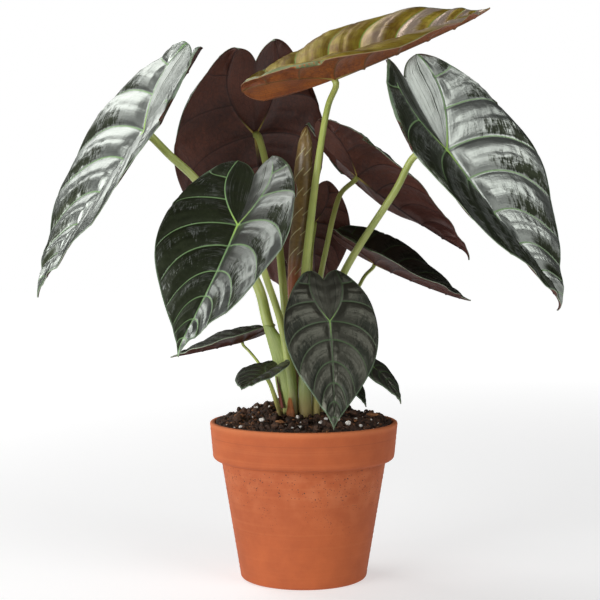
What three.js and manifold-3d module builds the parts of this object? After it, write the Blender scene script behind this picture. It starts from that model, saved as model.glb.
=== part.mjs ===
// A potted alocasia: thirteen stalked leaves and one rolled new leaf growing from a crown,
// in a terracotta pot filled with a bark and perlite mix. Millimetres, +Z up.
// The origin is the centre of the pot's base; the plant is seen from the -Y side.

import * as THREE from 'three';
import Module from 'manifold-3d';

// ---------------------------------------------------------------- driving dimensions

const POT = {
  height: 108, rimHeight: 26, // the thick band at the top
  rimRadius: 65, rimLowerRadius: 62.6, // the band tapers a little downwards
  shoulderRadius: 57, baseRadius: 43.5, // the straight tapered body
  wall: 6, floor: 7, edgeRound: 2, drainRadius: 10, sides: 48,
  rimWall: 3.6, flareLow: 78, flareHigh: 88, // inside, the wall opens out behind the band
};
const SOIL = { crownLevel: 110, crownFlat: 24, wallLevel: 104, clearance: 0.4 };
const CROWN = { x: -1.5, y: -3, radius: 14, depth: 16 };
const GAP = 0.3; // between pieces that touch on the real plant
const BLADE_THICKNESS = 0.9;
const STALK_SIDES = 8;

// The flat blade, in units of its midrib length. It lies with the stalk's joint at (0, 0),
// the tip at (1, 0) and two round lobes behind the joint; b is the distance from the midrib.
const OUTLINE = {
  lobeTop: [-0.5, 0.115],
  lobe: [[-0.5, 0.115], [-0.515, 0.215], [-0.2, 0.43], [0.1, 0.43]],
  flank: [[0.1, 0.43], [0.42, 0.43], [0.68, 0.19], [0.9, 0.045]],
  tip: [[0.9, 0.045], [0.94, 0.02], [0.97, 0.008], [1, 0]],
  notch: [[-0.41, 0], [-0.45, 0.02], [-0.49, 0.045], [-0.5, 0.115]],
  lobeVein: [[0, 0], [-0.27, 0.235], [-0.5, 0.115]],
};
const LOBE_SHARE = 0.36; // how much of the blade's main vein line runs back into a lobe
const NOTCH_START = 0.8; // where the inner edge of a lobe leaves the blade's axis

// One row for each leaf. joint is where the stalk meets the blade. heading, pitch and roll
// aim the midrib and turn the blade about it; fold is the V along the midrib, at the joint
// and at the tip; droop bends the midrib down, lobeDroop the lobes, cup rolls each half down,
// twist turns the blade along its length, sway curves it sideways, curl bends the drip tip.
// All angles are in degrees. route runs from under the blade down to the crown.
const LEAVES = {
  left: {
    joint: [-109, -5, 307], heading: 183, pitch: -55, roll: 25, length: 136, width: 0.98,
    fold: 17, tipFold: 16, droop: 2, lobeDroop: -3, cup: 6, twist: 4, sway: 1, curl: 30,
    route: [[-92, -4, 291], [-73, -4, 273], [-49, -4, 233], [-31, -6, 200], [-25, -7, 177],
      [-18, -8, 153], [-14, -7, 130], [-9, -3.5, 114]],
    radii: [2.7, 4.6],
  },
  back: {
    joint: [-35.5, 66, 311], heading: 80, pitch: -68, roll: 36, length: 138, width: 1.04,
    fold: 9, tipFold: 50, droop: 29, lobeDroop: 18, cup: 2, twist: -25, sway: 9, curl: 0,
    route: [[-27, 54, 287], [-22, 40, 262], [-17, 22, 226], [-13, 10, 184], [-10, 6, 150],
      [-6.5, 4.8, 114]],
    radii: [2.5, 3.0],
  },
  front_left: {
    joint: [-43, -50, 242], heading: 248, pitch: -45, roll: -3, length: 111, width: 1.04,
    fold: 22, tipFold: 0, droop: 0, lobeDroop: -10, cup: 5, twist: 0, sway: 6, curl: 40,
    route: [[-38, -38, 234], [-31, -30, 225], [-26, -22, 209], [-16, -15, 178],
      [-11, -14, 151], [-8, -12.6, 128], [-7, -11.3, 114]],
    radii: [2.2, 2.9],
  },
  right: {
    joint: [96, -20, 293], heading: -7, pitch: -54, roll: -37, length: 140, width: 1.02,
    fold: 22, tipFold: 35, droop: 10, lobeDroop: -10, cup: 8, twist: 0, sway: -19, curl: 70,
    route: [[77, -6, 291], [63, -3, 267], [27, 0, 209], [14, 2, 171], [8, 0, 136],
      [6.6, -2.2, 114]],
    radii: [2.4, 3.0],
  },
  top: {
    joint: [21, 5, 344], heading: 2, pitch: 22, roll: -16, length: 127, width: 1.03,
    fold: 49, tipFold: 37, droop: 0, lobeDroop: -10, cup: 52, twist: -19, sway: -22, curl: -10,
    route: [[17, 1, 326], [11, -8, 294], [4, -13, 240], [1, -14, 209], [1, -15, 171],
      [1, -13, 137], [0.8, -9.5, 114]],
    radii: [2.1, 4.0],
  },
  right_rear: {
    joint: [39, 48, 279], heading: 4, pitch: -38, roll: 14, length: 103, width: 1.03,
    fold: 31, tipFold: 28, droop: 0, lobeDroop: -10, cup: 36, twist: 0, sway: 25, curl: 60,
    route: [[27, 36, 267], [21.5, 23, 252], [16.2, 13, 229], [12, 11, 209], [7, 9, 170],
      [4, 6.5, 135], [3, 5, 114]],
    radii: [1.8, 2.2],
  },
  front: {
    joint: [17, -42, 179], heading: 284, pitch: -70, roll: 1, length: 73, width: 1.03,
    fold: 10, tipFold: 7, droop: 1, lobeDroop: 13, cup: 11, twist: -5, sway: 6, curl: 5,
    route: [[11, -34, 173], [9, -28, 165], [8, -21, 148], [9, -15, 128], [9, -10, 114]],
    radii: [1.6, 2.0],
  },
  right_low: {
    joint: [51, 36, 216], heading: -6, pitch: -25, roll: -16, length: 76, width: 0.98,
    fold: 48, tipFold: 33, droop: 0, lobeDroop: -10, cup: 36, twist: 2, sway: -25, curl: -10,
    route: [[44, 31, 208], [39, 24, 200], [25, 12, 173], [13, 7.5, 142], [8.5, 4.5, 114]],
    radii: [1.3, 1.5],
  },
  small_right: {
    joint: [48, -2, 145], heading: -18, pitch: -38, roll: -14, length: 32, width: 1.0,
    fold: 10, tipFold: 14, droop: 27, lobeDroop: 15, cup: 25, twist: -2, sway: 1, curl: 25,
    route: [[40, -3, 143], [30, -4, 137], [20, -4, 126], [12, -4.5, 114]],
    radii: [1.0, 1.3],
  },
  tiny_right: {
    joint: [33, 10, 134], heading: -28, pitch: -48, roll: -10, length: 21, width: 0.9,
    fold: 16, tipFold: 14, droop: 15, lobeDroop: 10, cup: 20, twist: 0, sway: 0, curl: 20,
    route: [[27, 10, 131], [19, 7, 122], [13, 1.5, 114]],
    radii: [0.8, 1.0],
  },
  small_left: {
    joint: [-43, 12, 162], heading: 216, pitch: -9, roll: -5, length: 54, width: 0.95,
    fold: 37, tipFold: 18, droop: 0, lobeDroop: -10, cup: 32, twist: 0, sway: 25, curl: 6,
    route: [[-38, 11, 155], [-31, 4, 147], [-23.5, -3, 134], [-18.5, -5.5, 122],
      [-17, -6, 114]],
    radii: [1.0, 1.3],
  },
  low_round: {
    joint: [-25, -42, 145], heading: 244, pitch: -11, roll: -6, length: 40, width: 1.02,
    fold: 19, tipFold: 0, droop: 0, lobeDroop: -4, cup: 14, twist: -1, sway: -7, curl: 0,
    route: [[-22, -37, 136], [-18.5, -28, 124], [-16.5, -18, 117], [-15.5, -11.5, 113]],
    radii: [1.4, 1.7],
  },
  mid_rear: {
    joint: [8, 53, 246], heading: 100, pitch: -82, roll: 0, length: 62, width: 1.0,
    fold: 3, tipFold: 11, droop: 10, lobeDroop: 9, cup: 11, twist: 0, sway: 3, curl: 8,
    route: [[6, 44, 228], [4.5, 28, 203], [2, 13, 173], [-1, 8, 135], [-1.2, 5.6, 114]],
    radii: [1.2, 1.5],
  },
};

// The rolled new leaf: its centreline and radius from the soil to its blunt point.
const NEW_LEAF = [
  { at: [-0.6, -1.5, 110.3], r: 3.6 }, { at: [-1.6, -2.5, 120], r: 3.8 },
  { at: [-4.5, -5, 138], r: 4.0 }, { at: [-5.5, -5, 157], r: 4.2 },
  { at: [-6.5, -4.5, 192], r: 4.3 }, { at: [-6.2, -4, 209], r: 4.7 },
  { at: [-4, -3, 226], r: 6.2 }, { at: [-0.8, -2, 250], r: 7.0 },
  { at: [0, -1, 281], r: 6.4 }, { at: [1.2, -0.5, 299], r: 4.9 },
  { at: [1.4, 0, 307], r: 2.9 }, { at: [1.6, 0, 311], r: 0.8 },
];

// Papery sheaths at the foot of the stalks: foot, way up, width across and lean direction.
const SHEATHS = {
  dry_bract: {
    foot: [-8.6, -17.2, 110.4], top: [-9.4, -17.8, 125], width: 7, bow: 1.6, facing: 250,
    color: 0xb5642c,
  },
  cataphyll: {
    foot: [-14.6, -11.8, 122], top: [-18.4, -13.6, 139], width: 3, bow: 0.6, facing: 215,
    color: 0x6d3026,
  },
};

const PERLITE = [ // place on the soil and half width of each large white grain
  { x: -28, y: -32, r: 1.8 }, { x: -33, y: 4, r: 1.5 }, { x: -42, y: -32, r: 1.5 },
  { x: 22.5, y: -32, r: 1.9 }, { x: 29.5, y: -38, r: 1.8 }, { x: 38, y: -34, r: 1.5 },
  { x: 15, y: -26, r: 1.5 }, { x: -4, y: -29, r: 1.4 }, { x: 11, y: -41, r: 1.5 },
];
const BARK = [ // place on the soil, half length and heading in degrees of each bark chip
  { x: -44, y: -12, r: 3.6, heading: 30 }, { x: -30, y: 22, r: 3.8, heading: 100 },
  { x: 34, y: 14, r: 3.6, heading: 60 }, { x: 47, y: -14, r: 3.4, heading: -20 },
  { x: 2, y: 34, r: 4.0, heading: 10 }, { x: -16, y: -42, r: 3.4, heading: 150 },
];

const COLORS = {
  terracotta: 0xb5623a, soil: 0x3b2a20, crown: 0x6b4a33, leafGreen: 0x4d5a4c,
  leafYoung: 0x7d7433, stalk: 0x8a9a4a,
  newLeaf: 0x6f5a34, perlite: 0xe8e4da, bark: 0x7a4a2a,
};

// ---------------------------------------------------------------- small tools

const plant = new THREE.Group();
plant.name = 'potted_alocasia';

function add(name, geometry, color, roughness) {
  const material = new THREE.MeshStandardMaterial({ color, roughness, metalness: 0 });
  const mesh = new THREE.Mesh(geometry, material);
  mesh.name = name;
  plant.add(mesh);
  return mesh;
}

const radians = THREE.MathUtils.degToRad;
const clamp = THREE.MathUtils.clamp;
const vector = (p) => new THREE.Vector3(...p);

// A point on a quadratic or cubic Bezier arc through plane control points.
function arcPoint(points, t) {
  const s = 1 - t;
  const weights = points.length === 3
    ? [s * s, 2 * s * t, t * t]
    : [s ** 3, 3 * s * s * t, 3 * s * t * t, t ** 3];
  return [0, 1].map((k) => points.reduce((sum, p, i) => sum + weights[i] * p[k], 0));
}

function indexedGeometry(vertices, triangles) {
  const geometry = new THREE.BufferGeometry();
  geometry.setAttribute('position', new THREE.Float32BufferAttribute(
    vertices.flatMap((v) => [v.x, v.y, v.z]), 3));
  geometry.setIndex(triangles.flat());
  geometry.computeVertexNormals();
  return geometry;
}

// ---------------------------------------------------------------- pot and soil

// The radius of the pot's inner wall at a height.
function innerRadius(z) {
  const { height, rimHeight, rimRadius, rimLowerRadius, shoulderRadius, baseRadius } = POT;
  const body = baseRadius + (shoulderRadius - baseRadius) * z / (height - rimHeight) - POT.wall;
  const taper = (rimRadius - rimLowerRadius) * (height - z) / rimHeight;
  const rim = rimRadius - POT.rimWall - taper;
  const flare = clamp((z - POT.flareLow) / (POT.flareHigh - POT.flareLow), 0, 1);
  return body + (rim - body) * flare;
}

function lathe(profile) {
  const points = profile.map(([r, z]) => new THREE.Vector2(r, z));
  const geometry = new THREE.LatheGeometry(points, POT.sides);
  return geometry.rotateX(Math.PI / 2);
}

function potProfile() {
  const { height, rimHeight, rimRadius, rimLowerRadius, shoulderRadius, baseRadius } = POT;
  const { floor, edgeRound, drainRadius } = POT;
  const band = height - rimHeight;
  const mouth = innerRadius(height);
  return [
    [drainRadius, 0],
    [baseRadius - edgeRound, 0],
    [baseRadius - 0.3, 1.1],
    [baseRadius + 0.5, edgeRound + 1],
    [shoulderRadius, band - 2], // straight tapered body
    [shoulderRadius + 1, band],
    [rimLowerRadius - 1.5, band + 0.8], // underside of the rim band
    [rimLowerRadius, band + 3],
    [rimRadius, height - 2.2],
    [rimRadius - 0.7, height - 0.6],
    [rimRadius - 2, height], // rounded lip
    [mouth + 1, height],
    [mouth, height - 1.5],
    [innerRadius(POT.flareHigh), POT.flareHigh],
    [innerRadius(POT.flareLow), POT.flareLow],
    [innerRadius(floor), floor],
    [drainRadius, floor],
    [drainRadius, 0],
  ];
}

// The soil's own level, mounded a little above the rim around the crown.
function soilLevel(x, y) {
  const wall = innerRadius(SOIL.wallLevel) - SOIL.clearance;
  const fall = clamp((Math.hypot(x, y) - SOIL.crownFlat) / (wall - SOIL.crownFlat), 0, 1);
  return SOIL.crownLevel - (SOIL.crownLevel - SOIL.wallLevel) * fall ** 1.3;
}

function soilProfile() {
  const { crownFlat, wallLevel, clearance } = SOIL;
  const bottom = POT.floor + clearance;
  const wall = innerRadius(wallLevel) - clearance;
  const slope = [0.75, 0.5, 0.25, 0].map((share) => {
    const r = crownFlat + share * (wall - crownFlat);
    return [r, soilLevel(r, 0)];
  });
  return [
    [0, bottom],
    [innerRadius(bottom) - clearance - 0.4, bottom],
    [innerRadius(POT.flareLow) - clearance, POT.flareLow],
    [innerRadius(POT.flareHigh) - clearance, POT.flareHigh],
    [wall, wallLevel],
    ...slope,
    [0, SOIL.crownLevel],
  ];
}

// The crown is a short round stock, set in the soil with its top at soil level.
function crownProfile(grow) {
  const top = SOIL.crownLevel + (grow > 0 ? 4 : 0);
  const bottom = SOIL.crownLevel - CROWN.depth - grow;
  const r = CROWN.radius + grow;
  return [[0, bottom], [r * 0.55, bottom + 1.5], [r * 0.9, bottom + 6], [r, SOIL.crownLevel - 4],
    [r, top], [0, top]];
}

// ---------------------------------------------------------------- leaf blades

// A flat outline point at share v of the way from the lobe's top round to the tip.
function edgePoint(v) {
  const arcs = [OUTLINE.lobe, OUTLINE.flank, OUTLINE.tip];
  const reach = [0, 0.44, 0.9, 1]; // where each arc ends along the edge
  const i = v < reach[1] ? 0 : v < reach[2] ? 1 : 2;
  return arcPoint(arcs[i], (v - reach[i]) / (reach[i + 1] - reach[i]));
}

// The blade's main vein line: down a lobe to the joint, then along the midrib.
function veinPoint(u) {
  if (u < LOBE_SHARE) return arcPoint(OUTLINE.lobeVein, 1 - u / LOBE_SHARE);
  return [(u - LOBE_SHARE) / (1 - LOBE_SHARE), 0];
}

// Outside the main vein, side veins sweep from it towards the edge.
function outerPoint(u, t) {
  const start = veinPoint(u);
  const end = edgePoint(u + 0.13 * Math.sin(Math.PI * u) * Math.sqrt(u));
  const bend = [
    start[0] + 0.1 * (end[0] - start[0]) - 0.03 * Math.sin(Math.PI * u),
    start[1] + 0.55 * (end[1] - start[1]),
  ];
  return arcPoint([start, bend, end], t);
}

// Between the lobe's vein and the notch.
function innerPoint(w, t) {
  const vein = arcPoint(OUTLINE.lobeVein, w);
  const edge = w < NOTCH_START
    ? [OUTLINE.notch[0][0] * w / NOTCH_START, 0]
    : arcPoint(OUTLINE.notch, (w - NOTCH_START) / (1 - NOTCH_START));
  return [0, 1].map((k) => (1 - t) * vein[k] + t * edge[k]);
}

// The blade's own directions at the joint: along the midrib, to its right, and up.
function bladeAxes({ heading, pitch, roll }) {
  const h = radians(heading);
  const p = radians(pitch);
  const along = new THREE.Vector3(
    Math.cos(p) * Math.cos(h), Math.cos(p) * Math.sin(h), Math.sin(p));
  const right = new THREE.Vector3(Math.sin(h), -Math.cos(h), 0);
  const up = right.clone().cross(along);
  right.applyAxisAngle(along, -radians(roll));
  up.applyAxisAngle(along, -radians(roll));
  return { along, right, up };
}

// The midrib's place and directions at a distance a from the joint, found by walking along it.
function midribAt(leaf, axes, a) {
  const steps = 24;
  const place = new THREE.Vector3();
  const frame = (s) => {
    const tipBend = radians(leaf.curl) * clamp((s - 0.85) / 0.15, 0, 1) ** 2;
    const bend = s < 0 ? radians(leaf.lobeDroop) * s / 0.5 : radians(leaf.droop) * s + tipBend;
    const turn = radians(leaf.sway) * s;
    const flat = axes.along.clone().multiplyScalar(Math.cos(turn))
      .addScaledVector(axes.right, Math.sin(turn));
    const side = axes.along.clone().multiplyScalar(-Math.sin(turn))
      .addScaledVector(axes.right, Math.cos(turn));
    const along = flat.multiplyScalar(Math.cos(bend)).addScaledVector(axes.up, -Math.sin(bend));
    return { along, side, up: side.clone().cross(along) };
  };
  for (let i = 0; i < steps; i += 1) {
    place.addScaledVector(frame(a * (i + 0.5) / steps).along, a / steps);
  }
  return { place, ...frame(a) };
}

// The blade's middle surface in space for a flat point (a, b) on one side (+1 right, -1 left).
function bladePoint(leaf, axes, [a, b], side) {
  const rib = midribAt(leaf, axes, a);
  const twist = radians(leaf.twist) * a;
  const fold = radians(leaf.fold + (leaf.tipFold - leaf.fold) * clamp(a, 0, 1));
  const cup = radians(leaf.cup) / 0.43 || 1e-4; // bending per unit of width
  const across = b * leaf.width;
  const out = (Math.sin(fold) - Math.sin(fold - cup * across)) / cup;
  const rise = (Math.cos(fold - cup * across) - Math.cos(fold)) / cup;
  const lateral = rib.side.clone().multiplyScalar(Math.cos(twist))
    .addScaledVector(rib.up, Math.sin(twist));
  const normal = rib.up.clone().multiplyScalar(Math.cos(twist))
    .addScaledVector(rib.side, -Math.sin(twist));
  return rib.place.addScaledVector(lateral, side * out).addScaledVector(normal, rise)
    .multiplyScalar(leaf.length).add(vector(leaf.joint));
}

// A patch of flat points with shared corners, as triangles wound to face up.
class Patch {
  constructor() {
    this.corners = [];
    this.triangles = [];
    this.known = new Map();
  }

  corner(flat, side) {
    const key = `${Math.round(flat[0] * 1e4)},${Math.round(side * flat[1] * 1e4)}`;
    if (!this.known.has(key)) {
      this.known.set(key, this.corners.length);
      this.corners.push({ flat, side });
    }
    return this.known.get(key);
  }

  grid(pointAt, rowShares, columns, side) {
    const rowAt = (share) => Array.from({ length: columns + 1 },
      (_, j) => this.corner(pointAt(share, j / columns), side));
    for (let i = 0; i + 1 < rowShares.length; i += 1) {
      const near = rowAt(rowShares[i]);
      const far = rowAt(rowShares[i + 1]);
      for (let j = 0; j < columns; j += 1) {
        this.triangle(near[j], far[j], far[j + 1]);
        this.triangle(near[j], far[j + 1], near[j + 1]);
      }
    }
  }

  triangle(i, j, k) {
    if (i === j || j === k || k === i) return;
    const [p, q, r] = [i, j, k].map((n) => this.corners[n]);
    const across = (c) => -c.side * c.flat[1]; // left is the positive direction seen from above
    const turn = (q.flat[0] - p.flat[0]) * (across(r) - across(p))
      - (r.flat[0] - p.flat[0]) * (across(q) - across(p));
    this.triangles.push(turn > 0 ? [i, j, k] : [i, k, j]);
  }
}

// Gives a curved sheet of points a thickness and closes it along its free edge.
function thickSheet(points, triangles, thickness) {
  const normals = points.map(() => new THREE.Vector3());
  for (const [i, j, k] of triangles) {
    const facing = points[j].clone().sub(points[i]).cross(points[k].clone().sub(points[i]));
    [i, j, k].forEach((n) => normals[n].add(facing));
  }
  const lifted = (offset) => points.map((p, n) => p.clone()
    .addScaledVector(normals[n].clone().normalize(), offset));
  const vertices = [...lifted(thickness / 2), ...lifted(-thickness / 2)];
  const below = points.length;
  const edges = new Set(triangles.flatMap(([i, j, k]) => [`${i},${j}`, `${j},${k}`, `${k},${i}`]));
  const faces = [];
  for (const [i, j, k] of triangles) faces.push([i, j, k], [i + below, k + below, j + below]);
  for (const edge of edges) {
    const [i, j] = edge.split(',').map(Number);
    if (!edges.has(`${j},${i}`)) faces.push([j, i, i + below], [j, i + below, j + below]);
  }
  return indexedGeometry(vertices, faces);
}

function bladeGeometry(leaf, detail) {
  const axes = bladeAxes(leaf);
  const patch = new Patch();
  const steps = (count) => Array.from({ length: count + 1 }, (_, i) => i / count);
  const lobe = steps(detail.lobeRows);
  const lobeRows = lobe.map((w) => LOBE_SHARE * (1 - w)).reverse();
  const midribRows = steps(detail.rows).map((m) => LOBE_SHARE + (1 - LOBE_SHARE) * m);
  for (const side of [1, -1]) {
    patch.grid(outerPoint, [...lobeRows, ...midribRows.slice(1)], detail.columns, side);
    patch.grid(innerPoint, lobe, 2, side);
  }
  const points = patch.corners.map(({ flat, side }) => bladePoint(leaf, axes, flat, side));
  return thickSheet(points, patch.triangles, BLADE_THICKNESS);
}

// ---------------------------------------------------------------- stalks and the new leaf

// A round stem swept along points with a radius at each; start and end are its end directions.
function stemGeometry(points, radii, start, end) {
  const count = points.length;
  const vertices = [];
  let across = new THREE.Vector3(0, 1, 0);
  for (let i = 0; i < count; i += 1) {
    let along = points[Math.min(i + 1, count - 1)].clone().sub(points[Math.max(i - 1, 0)]);
    if (i === 0) along = start.clone();
    if (i === count - 1) along = end.clone();
    along.normalize();
    across = across.addScaledVector(along, -across.dot(along)).normalize();
    const other = along.clone().cross(across);
    for (let k = 0; k < STALK_SIDES; k += 1) {
      const angle = 2 * Math.PI * k / STALK_SIDES;
      vertices.push(points[i].clone().addScaledVector(across, radii[i] * Math.cos(angle))
        .addScaledVector(other, radii[i] * Math.sin(angle)));
    }
  }
  const faces = [];
  for (let k = 0; k < STALK_SIDES; k += 1) {
    const next = (k + 1) % STALK_SIDES;
    for (let i = 0; i < count - 1; i += 1) {
      const row = i * STALK_SIDES;
      const after = row + STALK_SIDES;
      faces.push([row + k, row + next, after + next], [row + k, after + next, after + k]);
    }
  }
  const first = vertices.push(points[0].clone()) - 1;
  const last = vertices.push(points[count - 1].clone()) - 1;
  const row = (count - 1) * STALK_SIDES;
  for (let k = 0; k < STALK_SIDES; k += 1) {
    const next = (k + 1) % STALK_SIDES;
    faces.push([first, next, k], [last, row + k, row + next]);
  }
  return indexedGeometry(vertices, faces);
}

// The stalk leaves the blade's underside square to it, bends within a few millimetres and
// runs down its route; its foot stands upright on the crown or the soil.
function stalkGeometry(leaf) {
  const { up } = bladeAxes(leaf);
  const [thin, thick] = leaf.radii;
  const joint = vector(leaf.joint);
  const under = (distance) => joint.clone().addScaledVector(up, -distance);
  const seat = BLADE_THICKNESS / 2 + GAP + 0.1;
  const foot = vector(leaf.route[leaf.route.length - 1]).setZ(SOIL.crownLevel + GAP);
  const curve = new THREE.CatmullRomCurve3(
    [under(seat), under(seat + 1.6 * thin), ...leaf.route.map(vector), foot]);
  const steps = Math.max(9, Math.round(curve.getLength() / 22));
  const shares = [0, 0.012, ...Array.from({ length: steps }, (_, i) => (i + 1) / steps)];
  const points = shares.map((share) => curve.getPointAt(share));
  const radii = shares.map((share) => thin + (thick - thin) * share ** 1.5);
  return stemGeometry(points, radii, up.clone().negate(), new THREE.Vector3(0, 0, -1));
}

function newLeafGeometry() {
  const rows = [...NEW_LEAF].reverse(); // from the point down to the soil
  const down = new THREE.Vector3(0, 0, -1);
  return stemGeometry(rows.map((row) => vector(row.at)), rows.map((row) => row.r), down, down);
}

// A small bowed sheath that tapers to a point, standing on its foot.
function sheathGeometry({ foot, top, width, bow, facing }) {
  const rows = 6;
  const columns = 4;
  const out = new THREE.Vector3(Math.cos(radians(facing)), Math.sin(radians(facing)), 0);
  const across = new THREE.Vector3(-out.y, out.x, 0);
  const points = [];
  const triangles = [];
  for (let i = 0; i <= rows; i += 1) {
    const rise = i / rows;
    const half = 0.5 * width * Math.sqrt(1 - 0.94 * rise);
    for (let j = 0; j <= columns; j += 1) {
      const s = 2 * j / columns - 1;
      points.push(vector(foot).lerp(vector(top), rise).addScaledVector(across, s * half)
        .addScaledVector(out, bow * (1 - s * s) * (1 - rise)));
      if (i < rows && j < columns) {
        const n = i * (columns + 1) + j;
        triangles.push([n, n + 1, n + columns + 2], [n, n + columns + 2, n + columns + 1]);
      }
    }
  }
  return thickSheet(points, triangles, 0.6);
}

// ---------------------------------------------------------------- grains on the soil

// A rough stone or chip, scaled from a faceted ball and resting just clear of the soil.
function grainGeometry(r, stretch, flatten, seed) {
  const geometry = new THREE.IcosahedronGeometry(r, 1);
  const position = geometry.getAttribute('position');
  for (let i = 0; i < position.count; i += 1) {
    const p = new THREE.Vector3().fromBufferAttribute(position, i);
    const wobble = 1 + 0.09 * Math.sin(3.1 * p.x + seed) * Math.cos(2.7 * p.y - seed)
      + 0.06 * Math.sin(4.3 * p.z + 2 * seed);
    position.setXYZ(i, p.x * wobble * stretch, p.y * wobble, p.z * wobble * flatten);
  }
  return geometry;
}

function addGrain(name, { x, y, r, heading = 0 }, stretch, flatten, seed, color) {
  const grain = add(name, grainGeometry(r / stretch, stretch, flatten, seed), color, 0.9);
  const reach = r / stretch * flatten * 1.1;
  grain.position.set(x, y, soilLevel(Math.max(Math.hypot(x, y) - r, 0), 0) + GAP + reach);
  grain.rotation.z = radians(heading);
}

// ---------------------------------------------------------------- the plant

const wasm = await Module();
wasm.setup();

function soilGeometry() {
  const revolve = (profile) => wasm.Manifold.revolve([profile], POT.sides);
  const socket = revolve(crownProfile(GAP)).translate([CROWN.x, CROWN.y, 0]);
  const solid = revolve(soilProfile()).subtract(socket).getMesh();
  const vertices = [];
  for (let i = 0; i < solid.vertProperties.length; i += solid.numProp) {
    vertices.push(new THREE.Vector3(...solid.vertProperties.slice(i, i + 3)));
  }
  const triangles = [];
  for (let i = 0; i < solid.triVerts.length; i += 3) {
    triangles.push([...solid.triVerts.slice(i, i + 3)]);
  }
  return indexedGeometry(vertices, triangles);
}

add('pot', lathe(potProfile()), COLORS.terracotta, 0.85);
add('soil', soilGeometry(), COLORS.soil, 0.95);
add('crown', lathe(crownProfile(0)), COLORS.crown, 0.8).position.set(CROWN.x, CROWN.y, 0);

const LARGE = { rows: 9, columns: 3, lobeRows: 5 };
const SMALL = { rows: 6, columns: 2, lobeRows: 4 };
for (const [name, leaf] of Object.entries(LEAVES)) {
  const young = name === 'top';
  const blade = bladeGeometry(leaf, leaf.length > 60 ? LARGE : SMALL);
  add(`leaf_${name}_blade`, blade, young ? COLORS.leafYoung : COLORS.leafGreen, 0.45);
  add(`leaf_${name}_stalk`, stalkGeometry(leaf), COLORS.stalk, 0.5);
}
add('new_leaf', newLeafGeometry(), COLORS.newLeaf, 0.5);
for (const [name, sheath] of Object.entries(SHEATHS)) {
  add(name, sheathGeometry(sheath), sheath.color, 0.8);
}
PERLITE.forEach((grain, i) => addGrain(`perlite_${i + 1}`, grain, 1.1, 0.9, i, COLORS.perlite));
BARK.forEach((chip, i) => addGrain(`bark_${i + 1}`, chip, 1.8, 0.7, i + 20, COLORS.bark));

export default plant;
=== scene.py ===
# %% [markdown]
# # A potted alocasia
# The plant is a set of separate living pieces: thick quilted blades, round stalks, one leaf
# that is still rolled up, dry sheaths at the foot, a loose potting mix and a clay pot. The
# packed frame already says how big each piece is and where it stands, so everything here is
# built in metres in that same frame, and the looks are added piece by piece.

# %% Load the frame
import math
import random
import bmesh
import bpy
import numpy as np
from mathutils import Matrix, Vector


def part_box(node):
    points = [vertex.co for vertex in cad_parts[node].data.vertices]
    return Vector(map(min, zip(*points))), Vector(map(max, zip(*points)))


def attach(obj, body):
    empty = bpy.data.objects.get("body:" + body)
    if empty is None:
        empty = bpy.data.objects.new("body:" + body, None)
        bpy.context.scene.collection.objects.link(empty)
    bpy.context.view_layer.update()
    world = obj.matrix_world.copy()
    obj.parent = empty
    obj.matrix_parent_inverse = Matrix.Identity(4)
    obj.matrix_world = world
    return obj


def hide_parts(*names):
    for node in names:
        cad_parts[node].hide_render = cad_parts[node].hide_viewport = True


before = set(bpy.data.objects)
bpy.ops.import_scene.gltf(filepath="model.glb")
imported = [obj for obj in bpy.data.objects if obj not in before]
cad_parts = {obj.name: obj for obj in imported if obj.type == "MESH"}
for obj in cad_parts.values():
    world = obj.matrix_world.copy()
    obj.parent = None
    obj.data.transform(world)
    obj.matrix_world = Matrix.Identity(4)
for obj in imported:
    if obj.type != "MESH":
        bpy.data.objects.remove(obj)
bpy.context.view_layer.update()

MM = 0.001  # this file's tables are in millimetres, the scene is in metres

# %% [markdown]
# ## Camera
# A long lens about a metre away keeps the perspective mild, as for a catalogue view. A wide
# lens close by would stretch the leaves that reach forward.

# %% Camera
LENS_MM, SENSOR_MM = 80.0, 36.0
LOOK_DOWN = 2.18  # degrees
camera_data = bpy.data.cameras.new("view")
camera_data.lens, camera_data.sensor_width = LENS_MM, SENSOR_MM
camera = bpy.data.objects.new("view", camera_data)
camera.location = Vector((-2.6, -920.0, 226.5)) * MM
camera.rotation_euler = (math.radians(90 - LOOK_DOWN), 0, 0)
bpy.context.scene.collection.objects.link(camera)
bpy.context.scene.camera = camera
print("camera at", tuple(camera.location))

# %% [markdown]
# ## Light
# A leathery leaf is dark until it mirrors something bright, and that is what makes one half of
# a folded blade flash silver while the other stays nearly black; on two blades that dark half
# also has shade painted into its finish. So there are two large soft sources placed where the
# blades mirror them, one high behind on the left and one high in front on the right, and a lower
# one on the left that lights the pot and the stalks. The world is white to look at, but dim as
# a light, so that these sources shape the leaves.

# %% Lights
def soft_light(name, place, aim, size, power):
    data = bpy.data.lights.new(name, "AREA")
    data.shape, data.size, data.energy = "SQUARE", size, power
    light = bpy.data.objects.new(name, data)
    light.location = place
    light.rotation_euler = (Vector(aim) - Vector(place)).to_track_quat("-Z", "Y").to_euler()
    bpy.context.scene.collection.objects.link(light)


PLANT_MIDDLE = (0, 0, 0.22)
WORLD_AS_LIGHT = 0.06
soft_light("left_front", (-1.1, -1.05, 0.42), PLANT_MIDDLE, 1.0, 22)
soft_light("left_back", (-0.95, 0.66, 1.44), PLANT_MIDDLE, 1.2, 17)
soft_light("right_front", (0.95, -0.95, 1.05), PLANT_MIDDLE, 0.9, 9.5)

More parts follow.
